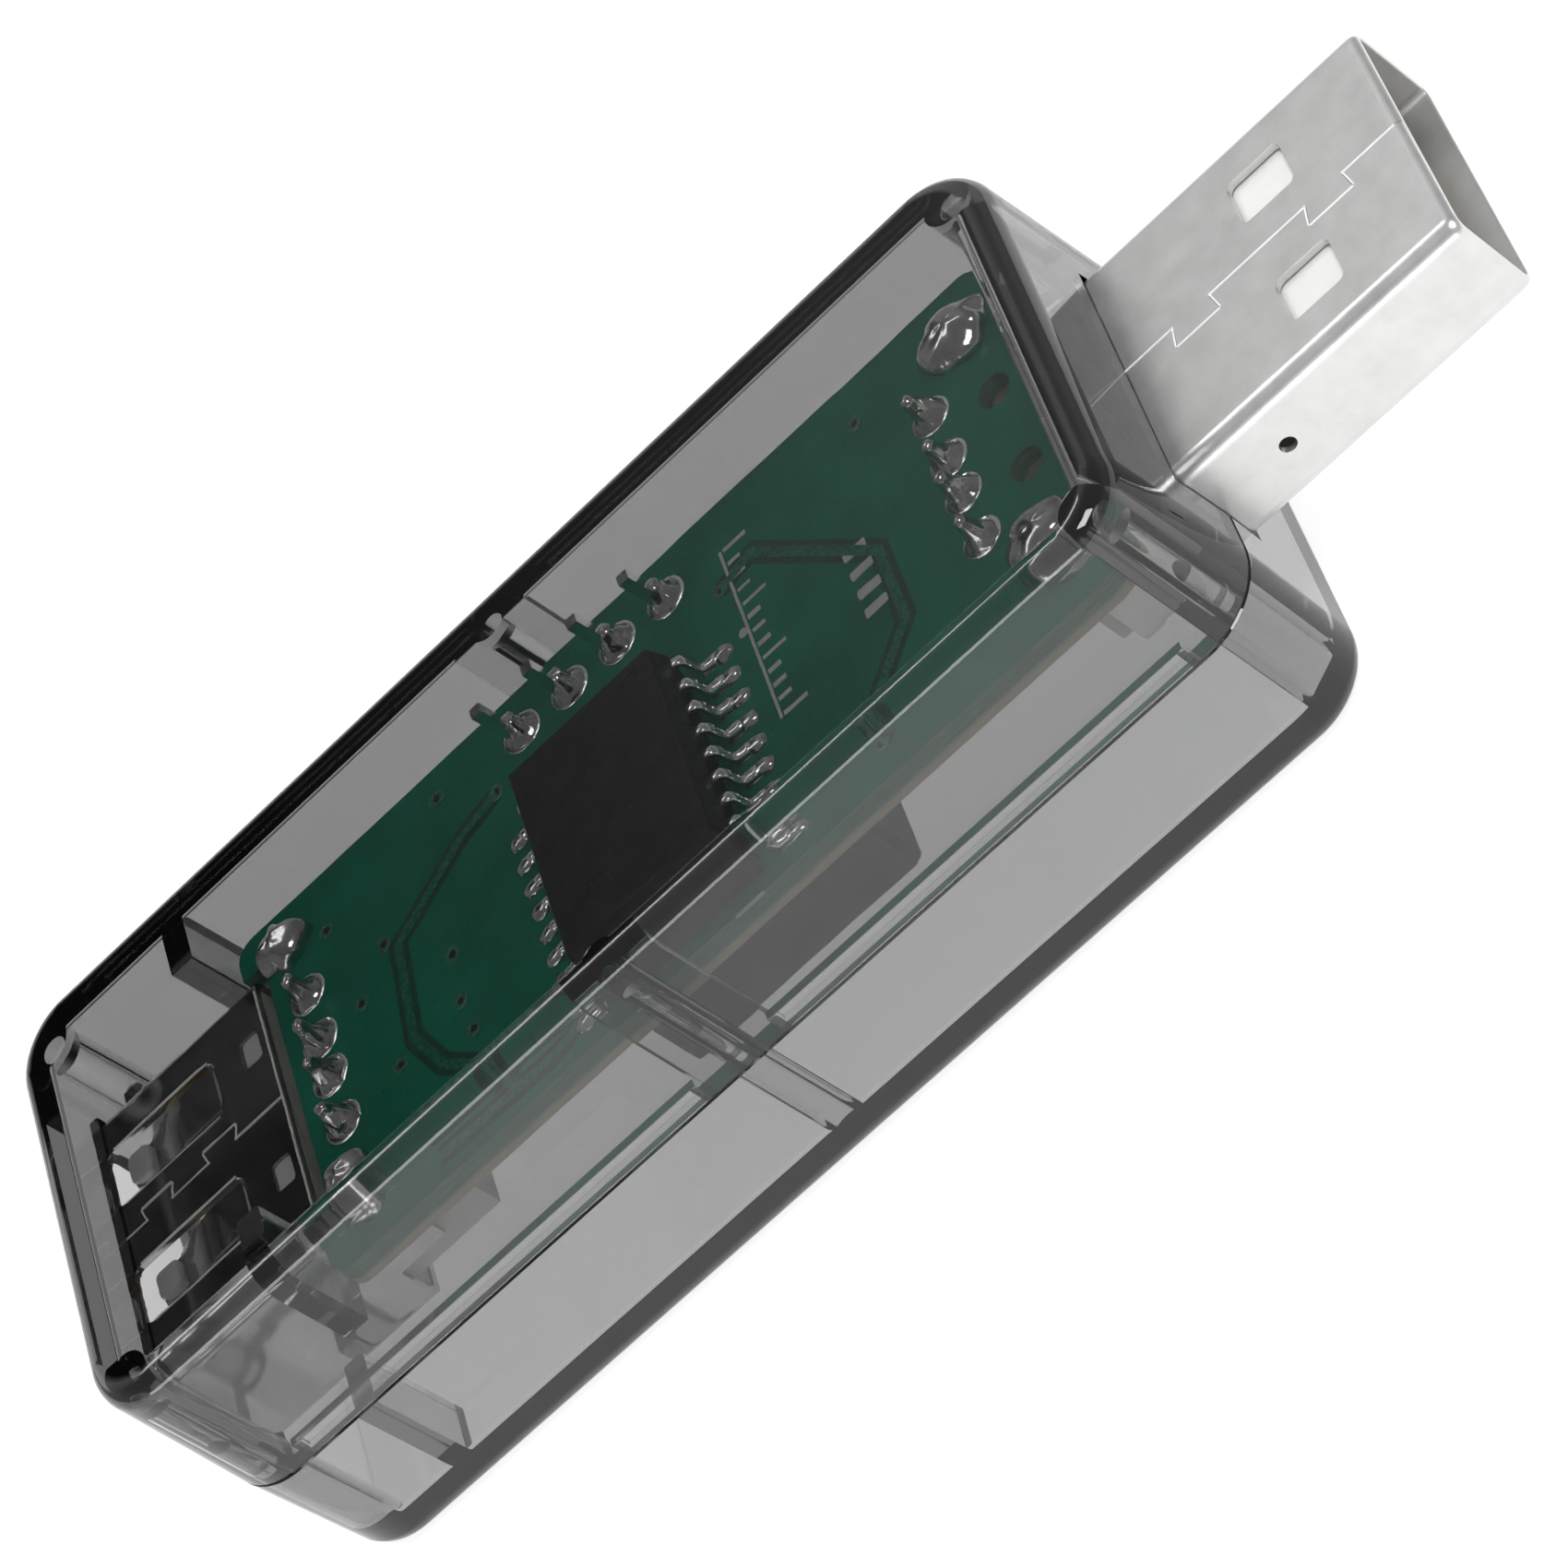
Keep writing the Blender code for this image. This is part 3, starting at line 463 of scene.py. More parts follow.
lower = loft_ob(outer(0.0, Z_PART))
boolean(lower, [loft_ob(cavity(FLOOR_T, Z_PART))], "DIFFERENCE")
tools = []
for sx in (1, -1):
    for sy in (1, -1):
        px, py = sx * POST_XY[0], sy * POST_XY[1]
        tools.append(cyl_ob(px, py, POST_R, (FLOOR_T - 0.3, Z_PART)))
        tools.append(cyl_ob(px, py, PIN_R, (Z_PART - 0.5, Z_PART + PIN_H - 0.3), n=28))
for sy in (1, -1):
    tools.append(cyl_ob(MID_X, sy * (MID_Y - 0.05), 0.85, (FLOOR_T - 0.3, Z_PART)))
    tools.append(cyl_ob(MID_X, sy * MID_Y, MID_PIN_R, (Z_PART - 0.5, Z_PART + PIN_H - 0.3), n=28))
    for xa, xb in ((-22.2, MID_X - MID_PAD - 0.3), (MID_X + MID_PAD + 0.3, 22.2)):
        tools.append(rbox((xa, xb), (sy * (HALF_W - WALL), sy * (HALF_W - WALL + LIP_T)), (Z_PART - 0.4, Z_PART + LIP_H), 0.05, 2))
tools.append(rbox((-20.3, -19.3), (-9.6, -6.9), (FLOOR_T - 0.3, 6.2), 0.1))
tools.append(rbox((-20.3, -19.3), (6.9, 9.6), (FLOOR_T - 0.3, 6.2), 0.1))
boolean(lower, tools, "UNION")
boolean(
    lower,
    [
        yz_prism(((-6.1, 5.12), (6.1, 5.12), (6.1, 9.0), (-6.1, 9.0)), 23.0, 27.0),
        yz_prism(((-6.66, 5.13), (6.66, 5.13), (6.66, 9.0), (-6.66, 9.0)), -27.0, -23.0),
    ],
    "DIFFERENCE",
)
settle(lower, "case_lower", M_LO, "base")
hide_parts("lower_shell")

upper = loft_ob(outer(CASE_H, Z_PART + SEAM))
boolean(upper, [loft_ob(cavity(CASE_H - ROOF_T, Z_PART + SEAM))], "DIFFERENCE")
boolean(upper, [rbox((-22.5, 22.5), (sy * (HALF_W - WALL - 0.3), sy * (HALF_W - WALL + LIP_T + 0.07)), (Z_PART - 0.5, Z_PART + LIP_H + 0.1), 0.02, 1) for sy in (1, -1)], "DIFFERENCE")
tools = []
for sx in (1, -1):
    for sy in (1, -1):
        tools.append(cyl_ob(sx * POST_XY[0], sy * POST_XY[1], POST_R, (Z_PART + SEAM, CASE_H - ROOF_T + 0.3)))
for sy in (1, -1):
    tools.append(cyl_ob(MID_X, sy * MID_Y, MID_R, (Z_PART + SEAM, CASE_H - ROOF_T + 0.3)))
    tools.append(rbox((MID_X - MID_PAD, MID_X + MID_PAD), (sy * MID_PAD_Y, sy * (HALF_W - 0.7)), (Z_PART + SEAM, CASE_H - ROOF_T + 0.3), 0.02, 1))
    tools.append(rbox(STOP_X, (sy * STOP_Y[0], sy * STOP_Y[1]), (STOP_Z0, CASE_H - ROOF_T + 0.3), 0.1))
boolean(upper, tools, "UNION")
tools = []
for sx in (1, -1):
    for sy in (1, -1):
        tools.append(cyl_ob(sx * POST_XY[0], sy * POST_XY[1], POST_HOLE_R, (Z_PART - 1, POST_HOLE_TOP), n=32))
for sy in (1, -1):
    tools.append(cyl_ob(MID_X, sy * MID_Y, MID_HOLE_R, (Z_PART - 1, POST_HOLE_TOP), n=32))
tools.append(yz_prism(((-6.1, 5.0), (6.1, 5.0), (6.1, 9.78), (-6.1, 9.78)), 23.0, 27.0))
tools.append(yz_prism(((-6.66, 5.0), (6.66, 5.0), (6.66, 11.05), (-6.66, 11.05)), -27.0, -23.0))
boolean(upper, tools, "DIFFERENCE")
settle(upper, "case_upper", M_UP, "cover")
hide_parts("upper_shell")


# ------------------------------------------------------------------ drawn-sheet shells
def tube_ring(x, dw, r, w, h, zc, n=9):
    pts = []
    hy, hz = w / 2 - dw, h / 2 - dw
    for sy, sz, a0 in ((1, 1, 0.0), (-1, 1, 90.0), (-1, -1, 180.0), (1, -1, 270.0)):
        oy, oz = sy * (hy - r), zc + sz * (hz - r)
        for i in range(n + 1):
            a = math.radians(a0 + 90.0 * i / n)
            pts.append((x * MM, (oy + r * math.cos(a)) * MM, (oz + r * math.sin(a)) * MM))
    return pts


def sheet_tube(xr, w, h, zc, r, t, front):
    """Open sheet tube with a rounded, slightly turned-in mouth at the front end."""
    x0, x1 = xr
    f = [(-0.42, 0.0, 0), (-0.30, 0.012, 0), (-0.20, 0.035, 0), (-0.11, 0.075, 0), (-0.045, 0.13, 0), (-0.01, 0.19, 0), (0.0, 0.24, 0)]
    g = [(-0.01, 0.285, 0), (-0.05, 0.315, 0), (-0.14, 0.325, 0), (-0.42, t, 0)]
    if front > 0:
        prof = [(x0, 0.03), (x0 + 0.03, 0.0)] + [(x1 + a, d) for a, d, _ in f] + [(x1 + a, d) for a, d, _ in g] + [(x0 + 0.03, t), (x0, t - 0.03)]
    else:
        prof = [(x1, 0.03), (x1 - 0.03, 0.0)] + [(x0 - a, d) for a, d, _ in f] + [(x0 - a, d) for a, d, _ in g] + [(x1 - 0.03, t), (x1, t - 0.03)]
    return loft_ob([tube_ring(x, d, max(r - d * 0.9, 0.2), w, h, zc) for x, d in prof], loop=True)


def slit_ob(path, width, z):
    left, right = [], []
    n = len(path)
    for i, (x, y) in enumerate(path):
        def unit(a, b):
            dx, dy = b[0] - a[0], b[1] - a[1]
            ln = math.hypot(dx, dy)
            return dx / ln, dy / ln
        d0 = unit(path[i - 1], path[i]) if i else unit(path[0], path[1])
        d1 = unit(path[i], path[i + 1]) if i < n - 1 else d0
        n0, n1 = (-d0[1], d0[0]), (-d1[1], d1[0])
        mx_, my_ = n0[0] + n1[0], n0[1] + n1[1]
        ml = mx_ * mx_ + my_ * my_
        k = 2.0 / ml if ml > 0.3 else 1.0
        left.append((x + mx_ * k * width / 2, y + my_ * k * width / 2))
        right.append((x - mx_ * k * width / 2, y - my_ * k * width / 2))
    poly = left + list(reversed(right))
    return loft_ob([[(a * MM, b * MM, q * MM) for a, b in poly] for q in z])


def puzzle(x_from, x_to, y0, teeth):
    s = 1 if x_to > x_from else -1
    path = [(x_from, y0)]
    for tx, dy, ln in teeth:
        path += [(tx, y0), (tx + s * -0.18, y0 + dy), (tx + s * (ln + 0.18), y0 + dy), (tx + s * ln, y0)]
    path.append((x_to, y0))
    return path


PLUG_ZC = 7.45
plug = sheet_tube((20.6, 39.0), 12.0, 4.5, PLUG_ZC, 0.65, 0.3, 1)
tools = []
for y in (2.9, -2.9):
    tools.append(loft_ob([rr(1.25, 1.15, 0.34, z, 6, 33.4, y) for z in (4.0, 11.0)]))
hole = lambda y, n=28: [((29.2 + 0.34 * math.cos(2 * math.pi * i / n)) * MM, y * MM, (PLUG_ZC + 0.34 * math.sin(2 * math.pi * i / n)) * MM) for i in range(n)]
tools.append(loft_ob([hole(-7.0), hole(7.0)]))
PLUG_SEAM = puzzle(40.0, 19.5, 0.25, ((36.2, -0.95, 1.7), (29.85, -0.95, 1.7)))
tools.append(slit_ob(PLUG_SEAM, 0.03, (8.9, 10.5)))
boolean(plug, tools, "DIFFERENCE")
boolean(plug, [rbox((20.7, 22.3), (sy * 5.7, sy * 6.0), (PLUG_ZC, 11.55), 0.05, 2) for sy in (1, -1)], "UNION")
settle(plug, "plug_tube", M_PLUG, "base", smooth=30.0, bevel=0.08, bevel_angle=50.0)
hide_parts("plug_shell")

SOCK_ZC, SOCK_W, SOCK_H = 8.09, 13.1, 5.72
SLOT_X = (-24.6, -18.6)
SOCK_TAB_X = -14.05
SOCK_SEAM = puzzle(-27.0, -10.0, 0.0, ((-23.3, 0.7, 1.3), (-19.9, 0.7, 1.4)))
sock = sheet_tube((-25.15, -15.85), SOCK_W, SOCK_H, SOCK_ZC, 0.6, 0.3, -1)
tools = []
for sy in (1, -1):
    tools.append(loft_ob([rr((SLOT_X[1] - SLOT_X[0]) / 2, 1.45, 0.45, z, 6, (SLOT_X[0] + SLOT_X[1]) / 2, sy * 3.13) for z in (4.0, 12.0)]))
    tools.append(loft_ob([rr(0.48, 0.72, 0.2, z, 6, -16.75, sy * 3.35) for z in (9.5, 12.0)]))
tools.append(slit_ob(SOCK_SEAM, 0.04, (10.2, 12.0)))
boolean(sock, tools, "DIFFERENCE")
tools = []
for sy in (1, -1):
    tools.append(rbox((-16.3, SOCK_TAB_X + 0.6), (sy * 6.25, sy * 6.55), (7.4, 9.45), 0.05, 2))
    tools.append(rbox((SOCK_TAB_X - 0.6, SOCK_TAB_X + 0.6), (sy * 6.25, sy * 6.55), (8.0, 11.6), 0.05, 2))
boolean(sock, tools, "UNION")
settle(sock, "socket_tube", M_SOCK, "base", smooth=30.0, bevel=0.04, bevel_angle=50.0)
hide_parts("socket_shell")


# ------------------------------------------------------------------ swept strips
def catmull(pts, sub):
    out = []
    p = [pts[0]] + list(pts) + [pts[-1]]
    for i in range(1, len(p) - 2):
        a, b, c, d = (Vector(q) for q in p[i - 1:i + 3])
        for k in range(sub):
            t = k / sub
            out.append(0.5 * ((2 * b) + (c - a) * t + (2 * a - 5 * b + 4 * c - d) * t * t + (3 * b - a - 3 * c + d) * t ** 3))
    out.append(Vector(pts[-1]))
    return out


def sweep_xz(bm, path, yc, half_w, half_t, ch=0.04):
    """Rounded flat strip along a path of (x, z), centred on yc; half_w may be a function of 0..1 along it."""
    n = len(path)
    rings = []
    for i, p in enumerate(path):
        a, b = path[max(i - 1, 0)], path[min(i + 1, n - 1)]
        t = (Vector(b) - Vector(a)).normalized()
        nx, nz = -t[1], t[0]
        w = half_w(i / (n - 1)) if callable(half_w) else half_w
        e = 0.6 if i in (0, n - 1) else 1.0
        w, th = w * (e if e < 1 else 1), half_t * e
        c = min(ch, th * 0.7)
        prof = [(-w + c, -th), (w - c, -th), (w, -th + c), (w, th - c), (w - c, th), (-w + c, th), (-w, th - c), (-w, -th + c)]
        rings.append([((p[0] + nx * q) * MM, (yc + s) * MM, (p[1] + nz * q) * MM) for s, q in prof])
    loft_into(bm, rings)


def spring(name, node, body, sy, up):
    zs = SOCK_ZC + up * (SOCK_H / 2 - 0.15)
    xr = SLOT_X[1] - 0.08
    pts = [(xr, zs), (-19.4, zs), (-20.5, zs - up * 0.015), (-21.4, zs - up * 0.16), (-22.3, zs - up * 0.44), (-22.9, zs - up * 0.55), (-23.3, zs - up * 0.50), (-23.8, zs - up * 0.26)]
    path = catmull(pts, 5)
    bm = bmesh.new()
    sweep_xz(bm, path, sy * 3.13, lambda t: 1.18 - 0.40 * max(0.0, min(1.0, (t - 0.60) / 0.22)), 0.11, 0.05)
    ob = make(name, bm, M_SOCK, body, smooth=40)
    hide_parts(node)
    # coined pad at the free end
    bm = bmesh.new()
    rings = []
    for d, h in ((0.05, -0.05), (0.0, 0.02), (0.02, 0.36), (0.08, 0.43), (0.20, 0.46)):
        rings.append([(x, y, z) for x, y, z in rr(0.60 - d, 0.70 - d, 0.26, zs + up * (h - 0.42), 6, -23.2, sy * 3.13)])
    loft_into(bm, rings)
    make(name + "_pad", bm, M_PAD, body, smooth=40)
    return ob


for k, (sy, up) in enumerate(((1, 1), (-1, 1), (1, -1), (-1, -1))):
    spring("spring_tongue_%d" % (k + 1), "socket_spring_%d" % (k + 1), "spring_%d" % (k + 1), sy, up)


def seam_highlight_strips(name, path, x_lo, x_hi, z, width, off, mat):
    """Thin flat strip of painted highlight laid beside a folded seam, where its rounded edge would catch the light."""
    pts = []
    for i, (x, y) in enumerate(path):
        pts.append((min(max(x, x_lo), x_hi), y))
    bm = bmesh.new()
    left = []
    n = len(pts)
    for i in range(n - 1):
        a, b = Vector(pts[i]), Vector(pts[i + 1])
        d = (b - a).normalized()
        m = Vector((-d.y, d.x)) * off
        q = [a + m * 0.2, b + m * 0.2, b + m * (0.2 + width / abs(off)), a + m * (0.2 + width / abs(off))]
        if (q[1] - q[0]).length < 0.02:
            continue
        loft_into(bm, [[(v.x * MM, v.y * MM, (z + h) * MM) for v in q] for h in (-0.03, 0.028)])
    make(name, bm, mat, "base", smooth=30, weighted=False)


# painted highlights along the two folded seams
seam_highlight_strips("socket_seam_painted_highlight", SOCK_SEAM, -25.0, -15.9, SOCK_ZC + SOCK_H / 2, 0.06, 0.05, M_EDGE_HIGHLIGHT)
seam_highlight_strips("plug_seam_painted_highlight", PLUG_SEAM, 20.7, 38.7, PLUG_ZC + 2.25, 0.06, 0.05, M_EDGE_HIGHLIGHT)
# painted highlights: thin glowing strips along the slot edges and the rear edge of the socket's top sheet
bm = bmesh.new()
zt = SOCK_ZC + SOCK_H / 2
for sy in (1, -1):
    for yy, x0, x1 in ((sy * 3.13 + 1.45, SLOT_X[0] + 0.5, SLOT_X[1] - 0.3), (sy * 3.13 - 1.45, SLOT_X[0] + 0.5, SLOT_X[1] - 0.3)):
        e = 1 if yy > sy * 3.13 else -1
        loft_into(bm, [[(x * MM, y * MM, z * MM) for x, y in ((x0, yy + e * 0.01), (x1, yy + e * 0.01), (x1, yy + e * 0.085), (x0, yy + e * 0.085))] for z in (zt - 0.03, zt + 0.028)])
loft_into(bm, [[(x * MM, y * MM, z * MM) for x, y in ((-15.96, -5.9), (-15.88, -5.9), (-15.88, 5.9), (-15.96, 5.9))] for z in (zt - 0.03, zt + 0.028)])
make("socket_slot_painted_highlights", bm, M_EDGE_HIGHLIGHT, "base", smooth=30, weighted=False)

bm = bmesh.new()
for sy in (1, -1):
    # white bosses that stand in the socket's two back windows
    loft_into(bm, [rr(0.43 - d, 0.67 - d, 0.16, z, 5, -16.75, sy * 3.35) for d, z in ((0.0, 10.30), (0.0, 10.86), (0.04, 10.90))])
make("socket_window_bosses", bm, M_WHITE, "base", smooth=30, weighted=False)

# ------------------------------------------------------------------ chip and its leads
Z_TOP = 10.92
CX, CY, HX, HY = 2.6, -2.9, 3.75, 5.15
CZ0, CZ1 = 11.06, 13.16
zm = (CZ0 + CZ1) / 2


def chip_ring(dx, z):
    return rr(HX - dx, HY - dx, 0.10, z, 4, CX, CY)


body_rings = [chip_ring(0.22, CZ0), chip_ring(0.16, CZ0 + 0.05), chip_ring(0.0, zm - 0.10), chip_ring(0.0, zm + 0.10), chip_ring(0.15, CZ1 - 0.10), chip_ring(0.18, CZ1 - 0.04), chip_ring(0.25, CZ1)]
chip = loft_ob(body_rings)
dimple = loft_ob([[((CX + HX - 1.1 + r * math.cos(2 * math.pi * i / 32)) * MM, (CY + HY - 1.1 + r * math.sin(2 * math.pi * i / 32)) * MM, z * MM) for i in range(32)] for r, z in ((0.30, CZ1 - 0.07), (0.40, CZ1 - 0.05), (0.44, CZ1 + 0.01), (0.44, CZ1 + 0.2))])
eject = loft_ob([[((CX - 1.4 + r * math.cos(2 * math.pi * i / 36)) * MM, (CY - 3.4 + r * math.sin(2 * math.pi * i / 36)) * MM, z * MM) for i in range(36)] for r, z in ((0.56, CZ1 - 0.025), (0.60, CZ1 + 0.01), (0.60, CZ1 + 0.2))])
boolean(chip, [dimple, eject], "DIFFERENCE")
settle(chip, "chip_body", M_CHIP, "base", smooth=28.0)
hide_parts("isolator_chip")

rng = random.Random(7)


def n3(x, y, z, s=1.0):
    return noise.noise(Vector((x, y, z)) * s)


def blob(bm, cx, cy, rx, ry, h, z0, seed, rough=0.12, peak=(0.0, 0.0), steps=9, seg=26, pw=1.0):
    """Domed, slightly irregular drop of solder on the board."""
    rings = []
    rings.append([])
    for j in range(steps):
        t = j / steps
        rad = math.cos(t * math.pi / 2) ** pw
        z = z0 + h * math.sin(t * math.pi / 2)
        ring = []
        for i in range(seg):
            a = 2 * math.pi * i / seg
            w = 1.0 + rough * n3(math.cos(a) * 1.6 + seed, math.sin(a) * 1.6, t * 1.7 + seed * 0.37)
            ring.append(((cx + peak[0] * t * t + rx * rad * w * math.cos(a)) * MM, (cy + peak[1] * t * t + ry * rad * w * math.sin(a)) * MM, (z + rough * 0.25 * h * n3(math.cos(a) + seed, math.sin(a), t * 2)) * MM))
        rings.append(ring)
    rings = rings[1:]
    base = [(x, y, (z0 - 0.03) * MM) for x, y, _ in rings[0]]
    vs = loft_into(bm, [base] + rings, cap=False)
    bm.faces.new(list(reversed(vs[0])))
    tip = bm.verts.new(((cx + peak[0]) * MM, (cy + peak[1]) * MM, (z0 + h * 1.005) * MM))
    last = vs[-1]
    for i in range(seg):
        bm.faces.new((last[i], last[(i + 1) % seg], tip))


def cone(bm, cx, cy, r0, h, r_tip, z0, seed, lean=(0.0, 0.0), rough=0.14, steps=12, seg=26, pw=2.1):
    """Solder fillet drawn up a pin: wide foot, hollow flank, small irregular rounded tip."""
    rings = []
    for j in range(steps + 1):
        t = j / steps
        rad = r_tip + (r0 - r_tip) * (1 - t) ** pw
        if t > 0.88:
            rad *= math.sqrt(max(0.0, 1 - ((t - 0.88) / 0.125) ** 2))
        ring = []
        for i in range(seg):
            a = 2 * math.pi * i / seg
            w = 1.0 + rough * (n3(math.cos(a) * 1.3 + seed, math.sin(a) * 1.3, t * 1.5) + 0.5 * n3(math.cos(a) * 3 + seed, math.sin(a) * 3, t * 4))
            ring.append(((cx + lean[0] * t ** 1.5 + rad * w * math.cos(a)) * MM, (cy + lean[1] * t ** 1.5 + rad * w * math.sin(a)) * MM, (z0 + h * t) * MM))
        rings.append(ring)
    base = [(x, y, (z0 - 0.03) * MM) for x, y, _ in rings[0]]
    vs = loft_into(bm, [base] + rings[:-1], cap=False)
    bm.faces.new(list(reversed(vs[0])))
    tip = bm.verts.new(((cx + lean[0]) * MM, (cy + lean[1]) * MM, (z0 + h) * MM))
    last = vs[-1]
    for i in range(seg):
        bm.faces.new((last[i], last[(i + 1) % seg], tip))


for side in (1, -1):
    for i in range(8):
        y = CY + (3.5 - i) * 1.27
        xb = CX + side * HX
        xf = CX + side * 5.15
        jit = 0.02 * (rng.random() - 0.5)
        pts = [(xb - side * 0.05, zm), (xb + side * 0.24, zm + 0.01), (xb + side * 0.40, zm - 0.06), (xb + side * 0.50, zm - 0.28), (xb + side * 0.53, 11.46), (xb + side * 0.63, 11.19), (xb + side * 0.80, 11.09 + jit), (xf, 11.07 + jit)]
        bm = bmesh.new()
        sweep_xz(bm, catmull(pts, 4), y, 0.215, 0.125, 0.05)
        idx = i + 1 if side > 0 else 16 - i
        ob = make("lead_%02d" % idx, bm, M_TIN, "base", smooth=50)
        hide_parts("chip_lead_%02d" % idx)

bm = bmesh.new()
for side in (1, -1):
    for i in range(8):
        y = CY + (3.5 - i) * 1.27
        blob(bm, CX + side * (5.28 + 0.05 * rng.random()), y, 0.50, 0.36, 0.22 + 0.06 * rng.random(), Z_TOP, 3.1 * i + 11 * side, rough=0.22, peak=(-side * 0.12, 0.0), seg=22, steps=7, pw=0.8)
make("chip_foot_solder", bm, M_SOLDER, "base", smooth=60, weighted=False)

# ------------------------------------------------------------------ through-hole joints
bm = bmesh.new()
for k, y in enumerate((3.5, 1.0, -1.0, -3.5)):
    cone(bm, 19.1, y, 0.74, 1.30 + 0.16 * rng.random(), 0.24, Z_TOP, 5.3 * k + 1, lean=(-0.10 + 0.1 * rng.random(), 0.14 * (rng.random() - 0.5)), rough=0.30)
    cone(bm, -13.6, y, 0.76, 1.28 + 0.2 * rng.random(), 0.26, Z_TOP, 7.7 * k + 3, lean=(0.06 * rng.random(), 0.16 * (rng.random() - 0.5)), rough=0.34)
make("pin_solder", bm, M_SOLDER, "base", smooth=60, weighted=False)
bm = bmesh.new()
for k in range(4):
    x = 2.65 + 2.54 * (k - 1.5)
    cone(bm, x, 6.35, 0.78, 0.90 + 0.1 * rng.random(), 0.32, Z_TOP, 4.1 * k + 2, lean=(0.04, 0.05), rough=0.22, pw=1.7)
make("module_pin_solder", bm, M_SOLDER, "base", smooth=60, weighted=False)
bm = bmesh.new()
for k, (x, y) in enumerate(((21.5, 5.85), (21.5, -5.85))):
    blob(bm, x - 0.25, y, 1.62, 1.35, 0.98, Z_TOP, 9.1 * k + 5, rough=0.30, peak=(0.15, 0.0), seg=36, steps=12, pw=0.85)
for k, (x, y) in enumerate(((-14.05, 6.4), (-14.05, -6.4))):
    blob(bm, x + 0.2, y, 1.25, 1.0, 0.95, Z_TOP, 6.3 * k + 8, rough=0.36, peak=(-0.15, 0.1), seg=36, steps=12, pw=0.85)
make("tab_solder", bm, M_SOLDER, "base", smooth=60, weighted=False)


# ------------------------------------------------------------------ board surface
def path_strip(bm, path, width, z0, z1):
    """Flat mitred strip along a path in XY."""
    left, right = [], []
    n = len(path)
    for i, (x, y) in enumerate(path):
        d0 = (Vector(path[i]) - Vector(path[i - 1])).normalized() if i else (Vector(path[1]) - Vector(path[0])).normalized()
        d1 = (Vector(path[i + 1]) - Vector(path[i])).normalized() if i < n - 1 else d0
        m = Vector((-(d0.y + d1.y), d0.x + d1.x))
        m = m * (2.0 / m.length_squared)
        left.append((x + m.x * width / 2, y + m.y * width / 2))
        right.append((x - m.x * width / 2, y - m.y * width / 2))
    for i in range(n - 1):
        q = [left[i], left[i + 1], right[i + 1], right[i]]
        loft_into(bm, [[(a * MM, b * MM, z * MM) for a, b in q] for z in (z0, z1)])


def slab(bm, cx, cy, hx, hy, r, z0, z1, n=4):
    loft_into(bm, [rr(hx, hy, r, z0, n, cx, cy), rr(hx, hy, r, z1 - 0.01, n, cx, cy), rr(hx - 0.01, hy - 0.01, r, z1, n, cx, cy)])


def disc(bm, cx, cy, r, z0, z1, n=24):
    ring = lambda q_r, z: [((cx + q_r * math.cos(2 * math.pi * i / n)) * MM, (cy + q_r * math.sin(2 * math.pi * i / n)) * MM, z * MM) for i in range(n)]
    loft_into(bm, [ring(r, z0), ring(r, z1 - 0.006), ring(r - 0.02, z1)])


def washer(bm, cx, cy, ro, ri, z0, z1, n=32):
    ring = lambda q_r, z: [((cx + q_r * math.cos(2 * math.pi * i / n)) * MM, (cy + q_r * math.sin(2 * math.pi * i / n)) * MM, z * MM) for i in range(n)]
    loft_into(bm, [ring(ro, z0), ring(ro, z1 - 0.01), ring(ro - 0.02, z1), ring(ri + 0.02, z1), ring(ri, z1 - 0.01), ring(ri, z0)], loop=True)


TRACES = [
    [(-3.05, 4.7), (-5.2, 4.1), (-9.1, 2.0), (-9.6, -2.7), (-8.7, -4.9), (-6.2, -7.3)],
    [(8.7, 4.45), (10.4, 4.9), (15.2, -0.1), (15.2, -3.9), (12.2, -6.9)],
    [(-2.0, -6.9), (-4.6, -7.5), (-10.4, -7.4)],
]
bm = bmesh.new()
for pth in TRACES:
    path_strip(bm, pth, 0.95, Z_TOP - 0.02, Z_TOP + 0.006)
make("trace_gaps", bm, M_GAP, "base", smooth=20, weighted=False)
bm = bmesh.new()
for pth in TRACES:
    path_strip(bm, pth, 0.42, Z_TOP - 0.02, Z_TOP + 0.03)
make("traces", bm, M_TRACE, "base", smooth=20, weighted=False)

VIAS = [(-6.95, -0.6), (-9.7, -0.6 + 3.2), (-7.2, -2.9), (-7.0, -4.6), (-10.5, -3.3), (-3.05, 4.7), (8.7, 4.45), (-11.4, 0.9), (12.2, -6.9), (16.2, 6.3), (-5.6, 6.9), (-12.0, 5.6)]
bm = bmesh.new()
for x, y in VIAS:
    washer(bm, x, y, 0.36, 0.16, Z_TOP - 0.02, Z_TOP + 0.035)
make("via_rings", bm, M_TRACE, "base", smooth=40, weighted=False)
# painted shade: flat dark discs at the via centres stand for the shade inside the open holes
bm = bmesh.new()
for x, y in VIAS:
    disc(bm, x, y, 0.17, Z_TOP - 0.02, Z_TOP + 0.012)
make("via_centres_painted_shade", bm, M_HOLE_SHADE, "base", smooth=40, weighted=False)

# tinned pads round the joints
bm = bmesh.new()
for y in (3.5, 1.0, -1.0, -3.5):
    washer(bm, 19.1, y, 0.86, 0.46, Z_TOP - 0.02, Z_TOP + 0.03)
    washer(bm, -13.6, y, 0.90, 0.46, Z_TOP - 0.02, Z_TOP + 0.03)
for k in range(4):
    washer(bm, 2.65 + 2.54 * (k - 1.5), 6.35, 0.92, 0.51, Z_TOP - 0.02, Z_TOP + 0.03)
make("hole_pads", bm, M_TIN, "base", smooth=40, weighted=False)
bm = bmesh.new()
for side in (1, -1):
    for i in range(8):
        slab(bm, CX + side * 5.0, CY + (3.5 - i) * 1.27, 0.72, 0.27, 0.08, Z_TOP - 0.02, Z_TOP + 0.03)
make("chip_pads", bm, M_TIN, "base", smooth=40, weighted=False)

